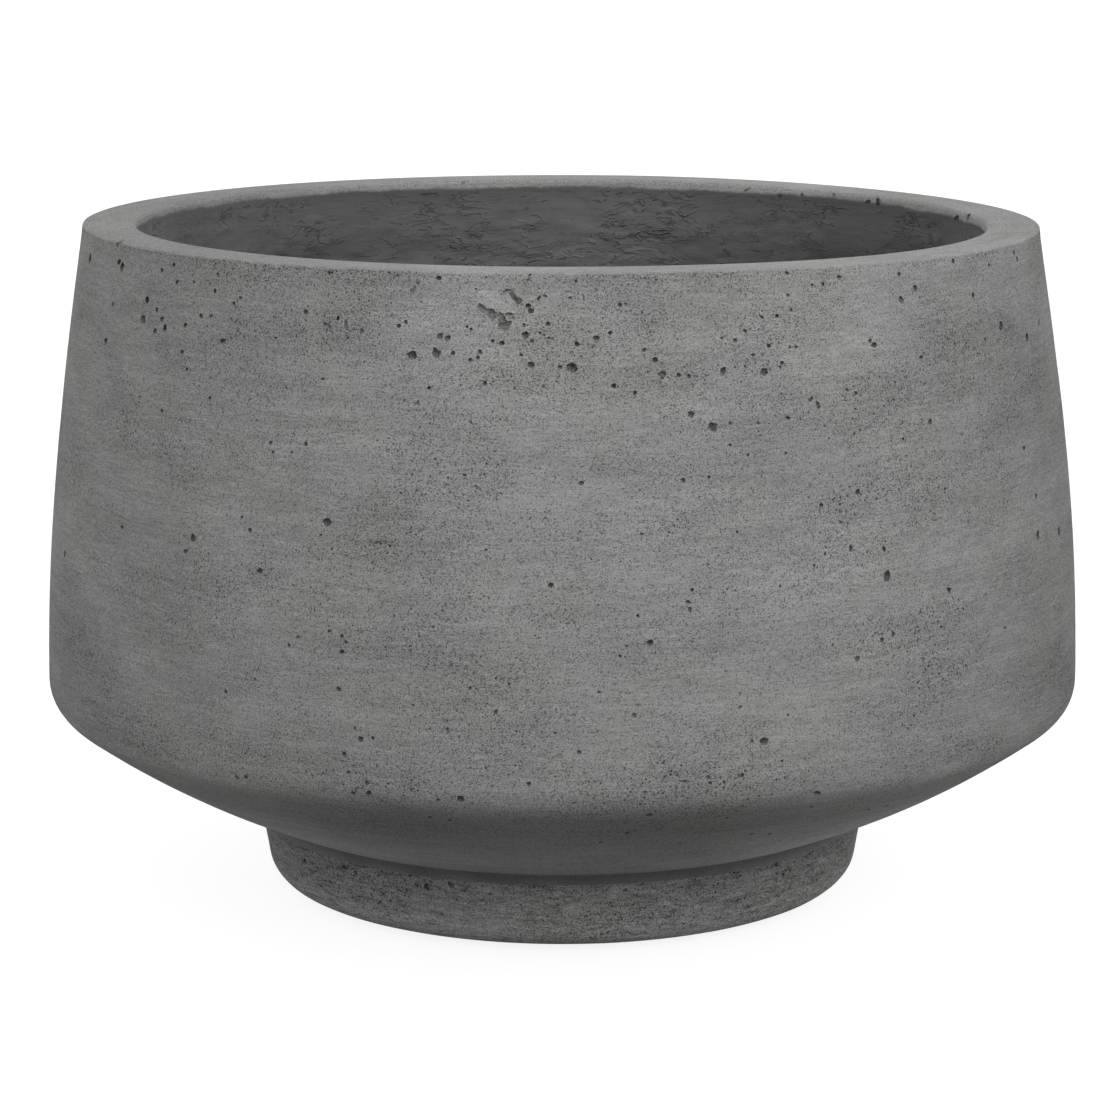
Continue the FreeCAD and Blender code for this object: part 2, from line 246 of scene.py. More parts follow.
class PotSizes(bpy.types.PropertyGroup):
    """Sizes of the pot's pieces, where the frame doesn't fix them."""

    rim_radius: length("Rim radius", "From the axis to the rim's outer edge", 0.1828)
    rim_width: length("Rim width", "Across the flat rim", 0.020)
    rim_depth: length("Rim depth", "From the rim's top to the underside that covers the lining", 0.005)
    rim_outer_rounding: length("Outer rim rounding", "Radius of the rim's outer edge", 0.0007)
    rim_inner_rounding: length("Inner rim rounding", "Radius of the rim's inner edge", 0.0018)
    coat_drop: length("Coat drop", "From the rim's top to the uneven edge of the lining's dark coat", 0.0033)
    wall_fullness: share("Wall fullness", "How high the wall stays upright before it leans in", 0.39)
    shoulder_radius: length("Shoulder radius", "Rounding between the wall and the dish", 0.0147)
    dish_radius: length("Dish radius", "Radius of the dish under the bowl", 0.3267)
    face_thickness: length("Face thickness", "Thickness of the cement face", 0.007)
    lining_thickness: length("Lining thickness", "Thickness of the fibre lining", 0.009)
    bond_gap: length("Bond gap", "Between the face and the lining", 0.0003)
    lining_setback: length("Lining setback", "How far the lining's top lies behind the rim's lip", 0.00003)
    land_height: length("Land height", "Straight height of the lining under the rim", 0.015)
    flare_height: length("Flare height", "Height over which the lining flares to the wall", 0.024)
    flare_rounding: length("Flare rounding", "Radius of the bends above and below the flare", 0.045)
    drain_radius: length("Drain radius", "Radius of the drain hole through the face and the lining", 0.0143)
    seat_radius: length("Seat radius", "Radius of the recess for the drain sleeve's flange", 0.0223)
    seat_depth: length("Seat depth", "Depth of the recess for the drain sleeve's flange", 0.001)
    foot_height: length("Foot height", "From the foot's underside to the crease", 0.030)
    foot_top_radius: length("Foot top radius", "Radius of the foot at the crease", 0.119)
    foot_base_radius: length("Foot base radius", "Radius of the foot underneath, before rounding", 0.114)
    foot_rounding: length("Foot rounding", "Radius of the foot's lower edge", 0.0124)
    foot_bore: length("Foot bore", "Radius of the hollow inside the foot", 0.080)
    foot_bore_rounding: length("Bore rounding", "Radius of the bore's lower edge", 0.003)
    mortar_thickness: length("Mortar thickness", "Height of the bed between the dish and the foot", 0.0024)
    mortar_inset: length("Mortar inset", "How far the mortar lies behind the foot's bore", 0.002)
    mortar_lap: length("Mortar lap", "How far the wiped mortar laps onto the foot and the dish", 0.0008)
    mortar_skin: length("Mortar skin", "Thickness of the lap, and the bed's key into its neighbours", 0.0002)
    sleeve_wall: length("Sleeve wall", "Wall of the drain sleeve", 0.0025)
    sleeve_fit: length("Sleeve fit", "Between the drain sleeve and its hole", 0.0003)
    sleeve_flange: length("Sleeve flange", "Thickness of the drain sleeve's flange", 0.0025)
    sleeve_edge: length("Sleeve edge", "Rounding of the drain sleeve's edges", 0.001)
    ring_depth: length("Ring depth", "Depth of the rings moulded into the sleeve, plug and pads", 0.0004)
    plug_fit: length("Plug fit", "Between the plug's stem and the sleeve", 0.0003)
    plug_taper: length("Plug taper", "How much thinner the plug's stem is at its end", 0.001)
    plug_flange: length("Plug flange", "Thickness of the plug's flange", 0.003)
    plug_edge: length("Plug edge", "Rounding of the plug's edges", 0.0012)
    grip_rise: length("Grip rise", "Straight height of the plug's grip", 0.006)
    grip_radius: length("Grip radius", "Radius of the grip's round top", 0.011)
    grip_thickness: length("Grip thickness", "Thickness of the grip over its ribs", 0.006)
    pad_edge: length("Pad edge", "Rounding of the pads' edges", 0.0006)
    pad_pocket_gap: length("Pad pocket gap", "Between a pad and its pocket", 0.0003)
    pad_pocket_depth: length("Pad pocket depth", "Depth of a pad's pocket in the foot", 0.001)
    rim_sag: length("Rim sag", "How far the rim dips on its right", 0.0013)
    rim_draw: length("Rim draw", "How far the rim is drawn in on its right", 0.0009)
    unevenness: length("Unevenness", "How deep the cast face dips by hand finishing", 0.00025)
    wrinkle_depth: length("Wrinkle depth", "How deep the lining is wrinkled", 0.0011)
    pit_seed: whole("Pit seed", "Seed of the pits that the photograph doesn't show", 11)
    wall_pit_count: whole("Wall pits", "Pits on the sides and back", 260)
    dish_pit_count: whole("Dish pits", "Pits under the bowl", 70)
    foot_pit_count: whole("Foot pits", "Pits round the foot", 60)


class PotColours(bpy.types.PropertyGroup):
    """Colours of the pot's finishes."""

    cement: colour("Cement", "Plain cement face", (0.273, 0.272, 0.271))
    foot: colour("Foot", "Cement of the foot ring", (0.275, 0.274, 0.272))
    lining: colour("Lining", "Dark coat on the fibre lining", (0.135, 0.135, 0.135))
    # The mortar's dark colour is partly painted shade in the crease
    mortar: colour("Mortar", "Mortar bed", (0.075, 0.075, 0.074))
    sleeve: colour("Sleeve", "Plastic drain sleeve", (0.05, 0.05, 0.052))
    plug: colour("Plug", "Rubber drain plug", (0.025, 0.025, 0.026))
    pad: colour("Pad", "Rubber foot pads", (0.035, 0.035, 0.036))
    floor_bounce: colour("Floor bounce", "Floor as it lights the pot from below", (0.3, 0.3, 0.3))


class PotStudio(bpy.types.PropertyGroup):
    """The camera and the lights."""

    camera_side: amount("Camera side", "Camera across", -0.0009, unit="LENGTH")
    camera_distance: length("Camera distance", "From the pot's axis to the camera", 1.410)
    camera_height: length("Camera height", "From the floor to the camera", 0.4032)
    camera_tilt: angle("Camera tilt", "Down from level", 11.122)
    lens: amount("Lens", "Focal length in millimetres", 118.1, min=1.0)
    horizon_light: amount("Horizon light", "World light from level", 0.95)
    side_light: amount("Side light", "World light from the sides, above level", 1.5)
    back_light: amount("Back light", "World light from behind, by that from the front", 1.2)
    zenith_light: amount("Zenith light", "World light from overhead", 0.15)
    key_strength: amount("Key strength", "Strength of the soft key lamp", 0.78)
    key_height: angle("Key height", "Key lamp above level", 35)
    key_side: angle("Key side", "Key lamp to the right of the camera", 30)
    key_softness: angle("Key softness", "How wide the key lamp looks", 40)
    shadow_depth: share("Shadow depth", "How much of the floor's white hangs on the light on it", 0.27)
    floor_light: share("Floor light", "How brightly the floor is lit away from the pot", 0.53)
    floor_size: length("Floor size", "Side of the floor", 60.0)
    floor_drop: length("Floor drop", "How far the floor lies under the pads", 0.0001)


# Outlines of the half sections


def straight(start, end, step):
    """Points from start to end, evenly spaced, without the start."""
    count = max(1, round(math.dist(start, end) / step))
    shares = [number / count for number in range(1, count + 1)]
    return [(start[0] + (end[0] - start[0]) * t, start[1] + (end[1] - start[1]) * t) for t in shares]


def round_about(centre, start, end, step):
    """Points along the shorter arc from start to end about a centre, without the start."""
    radius = math.dist(centre, start)
    first = math.atan2(start[1] - centre[1], start[0] - centre[0])
    last = math.atan2(end[1] - centre[1], end[0] - centre[0])
    sweep = math.remainder(last - first, math.tau)
    count = max(2, round(abs(sweep) * radius / step))
    turns = [first + sweep * number / count for number in range(1, count + 1)]
    return [(centre[0] + radius * math.cos(turn), centre[1] + radius * math.sin(turn)) for turn in turns]


def bent(start, pole, end, step):
    """Points along the curve from start to end that a pole draws out, without the start."""
    count = max(2, round(math.dist(start, end) / step))
    points = []
    for number in range(1, count + 1):
        t = number / count
        weights = ((1 - t) ** 2, 2 * t * (1 - t), t * t)
        pulls = list(zip(weights, (start, pole, end)))
        points.append(tuple(sum(weight * point[axis] for weight, point in pulls) for axis in (0, 1)))
    return points


def rounded_corner(before, corner, after, radius, step):
    """Points round a corner, from where the rounding leaves one side to where it meets the other."""
    middle = Vector(corner)
    back = (Vector(before) - middle).normalized()
    onward = (Vector(after) - middle).normalized()
    half = back.angle(onward) / 2
    first = middle + back * (radius / math.tan(half))
    last = middle + onward * (radius / math.tan(half))
    centre = middle + (back + onward).normalized() * (radius / math.sin(half))
    return [tuple(first)] + round_about(tuple(centre), tuple(first), tuple(last), step)


def dish_centre_z(sizes):
    return FOOT_BASE_Z + sizes.foot_height + math.sqrt(sizes.dish_radius**2 - sizes.foot_top_radius**2)


def dish_z(sizes, depth, out):
    """The height of the dish surface that lies depth inside the outer face, at a distance from the axis."""
    return dish_centre_z(sizes) - math.sqrt((sizes.dish_radius - depth) ** 2 - out**2)


def shoulder_centre(sizes, depth):
    out = BELLY_RADIUS - depth - sizes.shoulder_radius
    reach = sizes.dish_radius - depth - sizes.shoulder_radius
    return out, dish_centre_z(sizes) - math.sqrt(reach**2 - out**2)


def wall_radius(sizes, height):
    """The radius of the outer wall at a height between the belly and the rim."""
    belly_z = shoulder_centre(sizes, 0)[1]
    pole_z = belly_z + sizes.wall_fullness * (RIM_Z - belly_z)
    square = RIM_Z - 2 * pole_z + belly_z
    slope = 2 * (RIM_Z - pole_z)
    drop = RIM_Z - height
    along = 2 * drop / (slope + math.sqrt(slope**2 - 4 * square * drop))
    return BELLY_RADIUS - (BELLY_RADIUS - sizes.rim_radius) * (1 - along) ** 2


def bowl_line(sizes, depth, top_z, start_radius, step):
    """Points up the bowl surface that lies depth inside the outer face, from the drain to a height."""
    corner = shoulder_centre(sizes, depth)
    middle = (0, dish_centre_z(sizes))
    side = BELLY_RADIUS - depth
    dish = sizes.dish_radius - depth
    stretch = dish / (dish - sizes.shoulder_radius)
    drain = (start_radius, dish_z(sizes, depth, start_radius))
    toe = (corner[0] * stretch, middle[1] + (corner[1] - middle[1]) * stretch)
    belly = (side, corner[1])
    pole = (side, belly[1] + sizes.wall_fullness * (top_z - belly[1]))
    top = (wall_radius(sizes, top_z) - depth, top_z)
    shoulder_step = min(step, sizes.shoulder_radius / 8)
    points = [drain] + round_about(middle, drain, toe, step)
    points += round_about(corner, toe, belly, shoulder_step)
    return points + bent(belly, pole, top, step)


def face_section(sizes):
    """The cement face: up the outside, over the rim, and down the hidden side against the lining."""
    mouth = sizes.rim_radius - sizes.rim_width
    underside = RIM_Z - sizes.rim_depth
    outer = bowl_line(sizes, 0, RIM_Z, sizes.drain_radius, FACE_STEP)[:-1]
    outer_corner = (sizes.rim_radius, RIM_Z)
    inner_corner = (mouth, RIM_Z)
    lip = (mouth, underside)
    outer_edge = rounded_corner(outer[-1], outer_corner, inner_corner, sizes.rim_outer_rounding, FINE_STEP)
    inner_edge = rounded_corner(outer_corner, inner_corner, lip, sizes.rim_inner_rounding, FINE_STEP)
    hidden = bowl_line(sizes, sizes.face_thickness, underside, sizes.drain_radius, HIDDEN_STEP)[::-1]
    rim = straight(outer_edge[-1], inner_edge[0], FACE_STEP / 2)[:-1]
    return outer + outer_edge + rim + inner_edge + [lip] + hidden + outer[:1]


def lining_section(sizes):
    """The fibre lining: down its inside from the rim to the drain seat, and up its hidden side."""
    near = sizes.face_thickness + sizes.bond_gap
    deep = near + sizes.lining_thickness
    mouth = sizes.rim_radius - sizes.rim_width + sizes.lining_setback
    top_z = RIM_Z - sizes.rim_depth + sizes.bond_gap
    land_z = LINING_TOP_Z - sizes.land_height
    wall = bowl_line(sizes, deep, land_z - sizes.flare_height, sizes.seat_radius, LINING_STEP)[::-1]
    top = (mouth, top_z)
    bend = (mouth, land_z)
    upper = rounded_corner(top, bend, wall[0], sizes.flare_rounding, LINING_STEP)
    below = [point for point in wall if point[1] < wall[0][1] - sizes.land_height]
    lower = rounded_corner(bend, wall[0], below[0], sizes.flare_rounding, LINING_STEP)
    flare = straight(upper[-1], lower[0], LINING_STEP)[:-1]
    seat_z = dish_z(sizes, deep, 0) - sizes.seat_depth
    seat = [(sizes.seat_radius, seat_z), (sizes.drain_radius, seat_z)]
    hidden = bowl_line(sizes, near, top_z, sizes.drain_radius, HIDDEN_STEP)
    land = [top] + straight(top, upper[0], LINING_STEP)[:-1]
    below = [point for point in below if point[1] < lower[-1][1]]
    return land + upper + flare + lower + below + seat + hidden + [top]


def foot_lean(sizes):
    """How far the foot's side leans out for each metre up."""
    return (sizes.foot_top_radius - sizes.foot_base_radius) / sizes.foot_height


def foot_section(sizes):
    """The foot ring: up its side to the mortar, in under the dish, down the bore and out underneath."""
    base = FOOT_BASE_Z
    crease = (sizes.foot_top_radius, base + sizes.foot_height)
    bed = -sizes.mortar_thickness
    top_radius = sizes.foot_top_radius - sizes.mortar_thickness * foot_lean(sizes)
    top = (top_radius, dish_z(sizes, bed, top_radius))
    outer_corner = (sizes.foot_base_radius, base)
    bore_corner = (sizes.foot_bore, base)
    bore_top = (sizes.foot_bore, dish_z(sizes, bed, sizes.foot_bore))
    edge = rounded_corner(bore_corner, outer_corner, crease, sizes.foot_rounding, FINE_STEP * 2)
    bore_edge = rounded_corner(bore_top, bore_corner, outer_corner, sizes.foot_bore_rounding, FINE_STEP)
    side = straight(edge[-1], top, FINE_STEP * 4)
    under = round_about((0, dish_centre_z(sizes)), top, bore_top, FACE_STEP * 2)
    bore = straight(bore_top, bore_edge[0], FACE_STEP * 2)[:-1]
    base_line = straight(bore_edge[-1], edge[0], FACE_STEP)[:-1]
    return edge + side + under + bore + bore_edge + base_line + edge[:1]


def mortar_section(sizes):
    """The mortar bed, keyed into the dish and the foot, and wiped smooth where it shows at the crease."""
    inner = sizes.foot_bore + sizes.mortar_inset
    upper = sizes.mortar_skin
    lower = -sizes.mortar_thickness - sizes.mortar_skin
    middle = (0, dish_centre_z(sizes))
    lean = foot_lean(sizes)
    outer = sizes.foot_top_radius + sizes.mortar_lap
    top_inner = (inner, dish_z(sizes, upper, inner))
    top_outer = (outer, dish_z(sizes, upper, outer))
    foot_edge = sizes.foot_top_radius - sizes.mortar_thickness * lean
    lap_z = dish_z(sizes, -sizes.mortar_thickness, foot_edge) - sizes.mortar_lap
    lap = (foot_edge + sizes.mortar_skin - sizes.mortar_lap * lean, lap_z)
    crease = (sizes.foot_top_radius, FOOT_BASE_Z + sizes.foot_height - sizes.mortar_skin)
    bottom_outer = (foot_edge - sizes.mortar_lap, dish_z(sizes, lower, foot_edge - sizes.mortar_lap))
    bottom_inner = (inner, dish_z(sizes, lower, inner))
    points = [top_inner] + round_about(middle, top_inner, top_outer, FACE_STEP * 2)
    points += bent(top_outer, crease, lap, FINE_STEP)
    points += [(lap[0] - sizes.mortar_lap, lap[1]), bottom_outer]
    points += round_about(middle, bottom_outer, bottom_inner, FACE_STEP * 2)
    return points + [top_inner]


def ring(start, end, depth):
    """A shallow moulded ring between two radii, pressed down by a depth from a flat face."""
    bevel = math.copysign(depth, end[0] - start[0])
    return [start, (start[0] + bevel, start[1] - depth), (end[0] - bevel, end[1] - depth), end]


def sleeve_section(sizes):
    """The drain sleeve: a tube with a flange that has a ring moulded into it outside the plug."""
    outer = sizes.drain_radius - sizes.sleeve_fit
    bore = outer - sizes.sleeve_wall
    low, top = sleeve_low.z, sleeve_high.z
    under = top - sizes.sleeve_flange
    wide = sleeve_high.x
    rim = rounded_corner((wide, under), (wide, top), (bore, top), sizes.sleeve_edge, FINE_STEP / 2)
    lip = rounded_corner((wide, top), (bore, top), (bore, low), sizes.sleeve_edge, FINE_STEP / 2)
    ring_end = plug_high.x + sizes.sleeve_edge
    pressed = ring((rim[-1][0] - sizes.sleeve_edge, top), (ring_end, top), sizes.ring_depth)
    tube = [(bore, low), (outer, low), (outer, under), (wide, under)]
    return tube + rim + pressed + lip + tube[:1]


def plug_section(sizes):
    """The plug's stem and flange, from the axis at its foot to the axis at its top."""
    stem = sizes.drain_radius - sizes.sleeve_fit - sizes.sleeve_wall - sizes.plug_fit
    end = stem - sizes.plug_taper
    low, under = plug_low.z, sleeve_high.z
    top = under + sizes.plug_flange
    wide = plug_high.x
    foot = rounded_corner((0, low), (end, low), (stem, under), sizes.plug_edge, FINE_STEP / 2)
    rim = rounded_corner((wide, under), (wide, top), (0, top), sizes.plug_edge, FINE_STEP / 2)
    ring_end = sizes.grip_radius + sizes.plug_edge
    pressed = ring((wide - 2 * sizes.plug_edge, top), (ring_end, top), sizes.ring_depth)
    return [(0, low)] + foot + [(stem, under), (wide, under)] + rim + pressed + [(0, top)]


def grip_outline(sizes):
    """The plug's grip from the front: straight sides under a round top, let into the flange."""
    base = sleeve_high.z + sizes.plug_flange - sizes.plug_edge
    centre = (0, sleeve_high.z + sizes.plug_flange + sizes.grip_rise)
    wide = sizes.grip_radius
    right, left = (wide, centre[1]), (-wide, centre[1])
    top = (0, centre[1] + wide)
    arch = round_about(centre, right, top, FINE_STEP) + round_about(centre, top, left, FINE_STEP)
    return [(-wide, base), (wide, base), right] + arch + [(-wide, base)]


def pad_section(sizes, radius, low, top):
    """A foot pad about its own axis, with two rings pressed into its underside."""
    edge = rounded_corner((0, low), (radius, low), (radius, top), sizes.pad_edge, FINE_STEP / 3)
    rings = []
    for start in PAD_RINGS:
        rings += [(radius * (start + out), low + sizes.ring_depth * up) for out, up in PAD_RING_CORNERS]
    return [(0, low)] + rings + edge + [(radius, top), (0, top)]


# Modelling steps


def unpick():
    """Leaves nothing selected, so that the next operator acts on its own object alone."""
    bpy.ops.object.select_all(action="DESELECT")


def pick(piece):
    """Selects one object alone and makes it the one that operators act on."""
    unpick()
    piece.hide_set(False)
    piece.select_set(True)
    bpy.context.view_layer.objects.active = piece


def named(name):
    """Gives the object that an operator has just made a name."""
    piece = bpy.context.object
    piece.name = name
    piece.data.name = name
    return piece


def draw_line(name, points):
    """Draws an outline in the XZ plane by pulling one vertex from point to point."""
    unpick()
    bpy.ops.mesh.primitive_plane_add(size=FINE_STEP)
    piece = named(name)
    bpy.ops.object.mode_set(mode="EDIT")
    bpy.ops.mesh.merge(type="CENTER")
    bpy.ops.transform.translate(value=(points[0][0], 0, points[0][1]))
    for start, end in zip(points, points[1:]):
        step = (end[0] - start[0], 0, end[1] - start[1])
        bpy.ops.mesh.extrude_region_move(TRANSFORM_OT_translate={"value": step})
    bpy.ops.object.mode_set(mode="OBJECT")
    return piece


def close_up(piece):
    """Merges what meets and turns every face outwards."""
    pick(piece)
    bpy.ops.object.mode_set(mode="EDIT")
    bpy.ops.mesh.select_all(action="SELECT")
    bpy.ops.mesh.remove_doubles(threshold=WELD)
    bpy.ops.mesh.normals_make_consistent(inside=False)
    bpy.ops.object.mode_set(mode="OBJECT")


def add_modifier(piece, kind, **settings):
    """Adds a modifier, sets it and applies it."""
    pick(piece)
    bpy.ops.object.modifier_add(type=kind)
    modifier = piece.modifiers[-1]
    for key, value in settings.items():
        setattr(modifier, key, value)
    bpy.ops.object.modifier_apply(modifier=modifier.name)


def turn_piece(name, section, steps):
    """Turns a closed half section about the pot's axis into a solid piece."""
    piece = draw_line(name, section)
    weld = {"use_merge_vertices": True, "merge_threshold": WELD}
    add_modifier(piece, "SCREW", steps=steps, render_steps=steps, **weld)
    close_up(piece)
    return piece


def mark(piece, name, weight_of):
    """A vertex group weighted by the vertices' distance from the axis, height and normal."""
    group = piece.vertex_groups.new(name=name)
    for vertex in piece.data.vertices:
        out = math.hypot(vertex.co.x, vertex.co.y)
        facing = (vertex.normal.x * vertex.co.x + vertex.normal.y * vertex.co.y) / max(out, WELD)
        weight = weight_of(out, vertex.co.z, facing, vertex.normal.z)
        if weight > 0:
            group.add([vertex.index], weight, "REPLACE")
    return name


def texture(name, kind, size, **settings):
    made = bpy.data.textures.new(name, kind)
    made.noise_scale = size
    for key, value in settings.items():
        setattr(made, key, value)
    return made


def uneven(piece, group, pattern, depth, middle, flattening=1.0):
    """Presses a pattern into the marked part of a piece, squeezed in height by the flattening."""
    unpick()
    bpy.ops.object.empty_add(type="PLAIN_AXES")
    guide = bpy.context.object
    guide.scale = (1, 1, flattening)
    bpy.context.view_layer.update()
    add_modifier(
        piece, "DISPLACE", texture=pattern, texture_coords="OBJECT", texture_coords_object=guide,
        strength=depth, mid_level=middle, vertex_group=group,
    )
    bpy.data.objects.remove(guide)
    bpy.data.textures.remove(pattern)


def eased(value, start, end):
    """Nothing before start, one after end, and a smooth change between them."""
    share_done = min(1.0, max(0.0, (value - start) / (end - start)))
    return share_done * share_done * (3 - 2 * share_done)


def sag_rim(piece, sizes):
    """Lets the rim dip and draw in on its right, as the one in the photograph does."""
    group = piece.vertex_groups.new(name="sag")
    for vertex in piece.data.vertices:
        weight = eased(vertex.co.x, *SAG_ACROSS) * eased(vertex.co.z, *SAG_UP)
        if weight > 0:
            group.add([vertex.index], weight, "REPLACE")
    for way, depth in (("Z", sizes.rim_sag), ("X", sizes.rim_draw)):
        add_modifier(piece, "DISPLACE", direction=way, strength=-depth, mid_level=0.0, vertex_group="sag")
    piece.vertex_groups.clear()


def set_hollow(piece, value):
    """Records on each face how much painted shade it gets as a hollow, which the cement's finish reads."""
    layer = piece.data.attributes.get("hollow") or piece.data.attributes.new("hollow", "FLOAT", "FACE")
    layer.data.foreach_set("value", [value] * len(piece.data.polygons))


def lumpy_balls(count, detail):
    """Balls of uneven shape, one across, that pits are cut with."""
    balls = []
    for number in range(count):
        unpick()
        bpy.ops.mesh.primitive_ico_sphere_add(subdivisions=detail, radius=1)
        ball = named(f"pit_cutter_{number}")
        lumps = texture(f"lumps_{number}", "CLOUDS", 0.55 + 0.1 * number)
        add_modifier(ball, "DISPLACE", texture=lumps, strength=0.9, mid_level=0.45)
        bpy.data.textures.remove(lumps)
        balls.append(ball)
    return balls


def photo_reach(studio):
    """How many pixels of the photograph a thing spans that is as wide as it is far away."""
    return studio.lens / SENSOR_WIDTH * PHOTO_WIDTH


def photo_ray(studio, x, y):
    """The camera's place, and the way that a pixel of the photograph looks from it."""
    reach = photo_reach(studio)
    across = (x - PHOTO_WIDTH / 2) / reach
    down = (y - PHOTO_WIDTH / 2) / reach
    turn = Matrix.Rotation(math.pi / 2 - studio.camera_tilt, 3, "X")
    place = Vector((studio.camera_side, -studio.camera_distance, studio.camera_height))
    return place, (turn @ Vector((across, -down, -1))).normalized()


def strike(piece, origin, direction):
    """Where a line meets a piece, and which way the surface faces there."""
    hit, place, normal, _ = piece.ray_cast(origin, direction)
    if not hit:
        raise RuntimeError(f"no surface of {piece.name} lies along {tuple(direction)} from {tuple(origin)}")
    return place, normal


def pit_matrix(rng, place, normal, along, half_length, half_width, depth):
    """Places an uneven ball as a pit: sunk in the surface, longest along one direction, turned at random."""
    forward = (along - normal * along.dot(normal)).normalized()
    across = normal.cross(forward)
    axes = Matrix((forward * half_length, across * half_width, normal * depth)).transposed()
    turn = rng.uniform(0, math.tau)
    axis = Vector((rng.gauss(0, 1), rng.gauss(0, 1), rng.gauss(0, 1)))
    spin = Matrix.Rotation(turn, 3, axis)
    return Matrix.Translation(place - normal * depth * PIT_SINK) @ (axes @ spin).to_4x4()


def photo_pits(piece, studio, rng, pits, depth_share, lean=0.0):
    """Places for the pits that the photograph shows, at the size that they have there.

    A pit that leans is deepest at its top and runs out at its foot, as where a flake has come off.
    """
    matrices = []
    for x, y, long, wide, *turn in pits:
        slant = math.radians(turn[0]) if turn else 0.0
        origin, direction = photo_ray(studio, x, y)
        place, normal = strike(piece, origin, direction)
        right, down = math.cos(slant) / 2, math.sin(slant) / 2
        end, _ = strike(piece, *photo_ray(studio, x + right * long, y + down * long))
        edge, _ = strike(piece, *photo_ray(studio, x - down * wide, y + right * wide))
        along = end - place
        pixel = (place - origin).length / photo_reach(studio)
        half_length = min(along.length, long * pixel)
        half_width = min((edge - place).length, wide * pixel)
        depth = depth_share * min(half_length, half_width)
        leaning = (normal + Vector((0, 0, lean))).normalized()
        matrices.append(pit_matrix(rng, place, leaning, along, half_length, half_width, depth))
    return matrices


def filler_places(piece, studio):
    """Where the patches of filler lie, and their radius."""
    pixel = studio.camera_distance / photo_reach(studio)
    return [(strike(piece, *photo_ray(studio, x, y))[0], width / 2 * pixel) for x, y, width in FILLER_SPOTS]


def unseen_half(rng, usual, greatest):
    """Half the width of a pit that the photograph doesn't show, most often near the smallest."""
    return SMALLEST_PIT + min(rng.expovariate(1 / usual), greatest)


def wall_pits(piece, rng, count, low, high):
    """Places for pits that the photograph doesn't show, between two heights on a wall."""
    matrices = []
    for _ in range(count):
        turn = rng.uniform(*UNSEEN_TURNS)
        lift = max(rng.random(), rng.random())
        height = low + (high - low) * lift
        outward = Vector((math.sin(turn), -math.cos(turn), 0))
        place, normal = strike(piece, outward + Vector((0, 0, height)), -outward)
        half = unseen_half(rng, *WALL_PIT_GROWTH)
        long = half * rng.uniform(*WALL_PIT_STRETCH)
        along = Vector((math.cos(turn), math.sin(turn), rng.uniform(-1, 1)))
        depth = half * rng.uniform(*UNSEEN_PIT_DEPTH)
        matrices.append(pit_matrix(rng, place, normal, along, long, half, depth))
    return matrices


def dish_pits(piece, rng, count, inner, outer):
    """Places for pits under the bowl."""
    matrices = []
    for _ in range(count):
        turn = rng.uniform(*UNSEEN_TURNS)
        out = rng.uniform(inner, outer)
        below = Vector((out * math.sin(turn), -out * math.cos(turn), -1))
        place, normal = strike(piece, below, Vector((0, 0, 1)))
        half = unseen_half(rng, *DISH_PIT_GROWTH)
        long = half * rng.uniform(*DISH_PIT_STRETCH)
        along = Vector((math.cos(turn), math.sin(turn), 0))
        matrices.append(pit_matrix(rng, place, normal, along, long, half, half))
    return matrices


def apart(matrices):
    """Sorts places into layers in which no two pits touch."""
    layers = []
    for matrix in matrices:
        reach = max(column.length for column in matrix.to_3x3().col) * 1.5
        place = matrix.to_translation()
        for layer in layers:
            if all((place - other).length > reach + other_reach for _, other, other_reach in layer):
                layer.append((matrix, place, reach))
                break
        else:
            layers.append([(matrix, place, reach)])
    return [[matrix for matrix, _, _ in layer] for layer in layers]


def carve(piece, balls, matrices, hollow):
    """Cuts a pit at each place. No cut takes more than one of two pits that touch."""
    for layer in apart(matrices):
        unpick()
        for number, matrix in enumerate(layer):
            ball = balls[number % len(balls)]
            cutter = ball.copy()
            cutter.data = ball.data.copy()
            cutter.matrix_world = matrix
            bpy.context.collection.objects.link(cutter)
            cutter.select_set(True)
        bpy.context.view_layer.objects.active = cutter
        if len(layer) > 1:
            bpy.ops.object.join()
        set_hollow(cutter, hollow)
        combine(piece, cutter, "DIFFERENCE")


def discard(*pieces):
    for piece in pieces:
        mesh = piece.data
        bpy.data.objects.remove(piece)
        bpy.data.meshes.remove(mesh)


def combine(piece, other, operation):
    """Cuts another object out of a piece or joins it on, and does away with it."""
    add_modifier(piece, "BOOLEAN", operation=operation, solver="MANIFOLD", object=other)
    discard(other)


def pad_place(node):
    """Where a pad's axis stands, and the pad's radius."""
    low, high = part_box(node)
    return (low.x + high.x) / 2, (low.y + high.y) / 2, (high.x - low.x) / 2


def smooth(piece):
    pick(piece)
    bpy.ops.object.shade_smooth_by_angle(angle=SMOOTH_ANGLE)


def settle(piece, material, slot, body, *nodes):
    """Gives a finished piece its material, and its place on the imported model."""
    piece.data.materials.clear()
    piece.data.materials.append(material)
    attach(piece, body)
    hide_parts(*nodes)


# Finishes


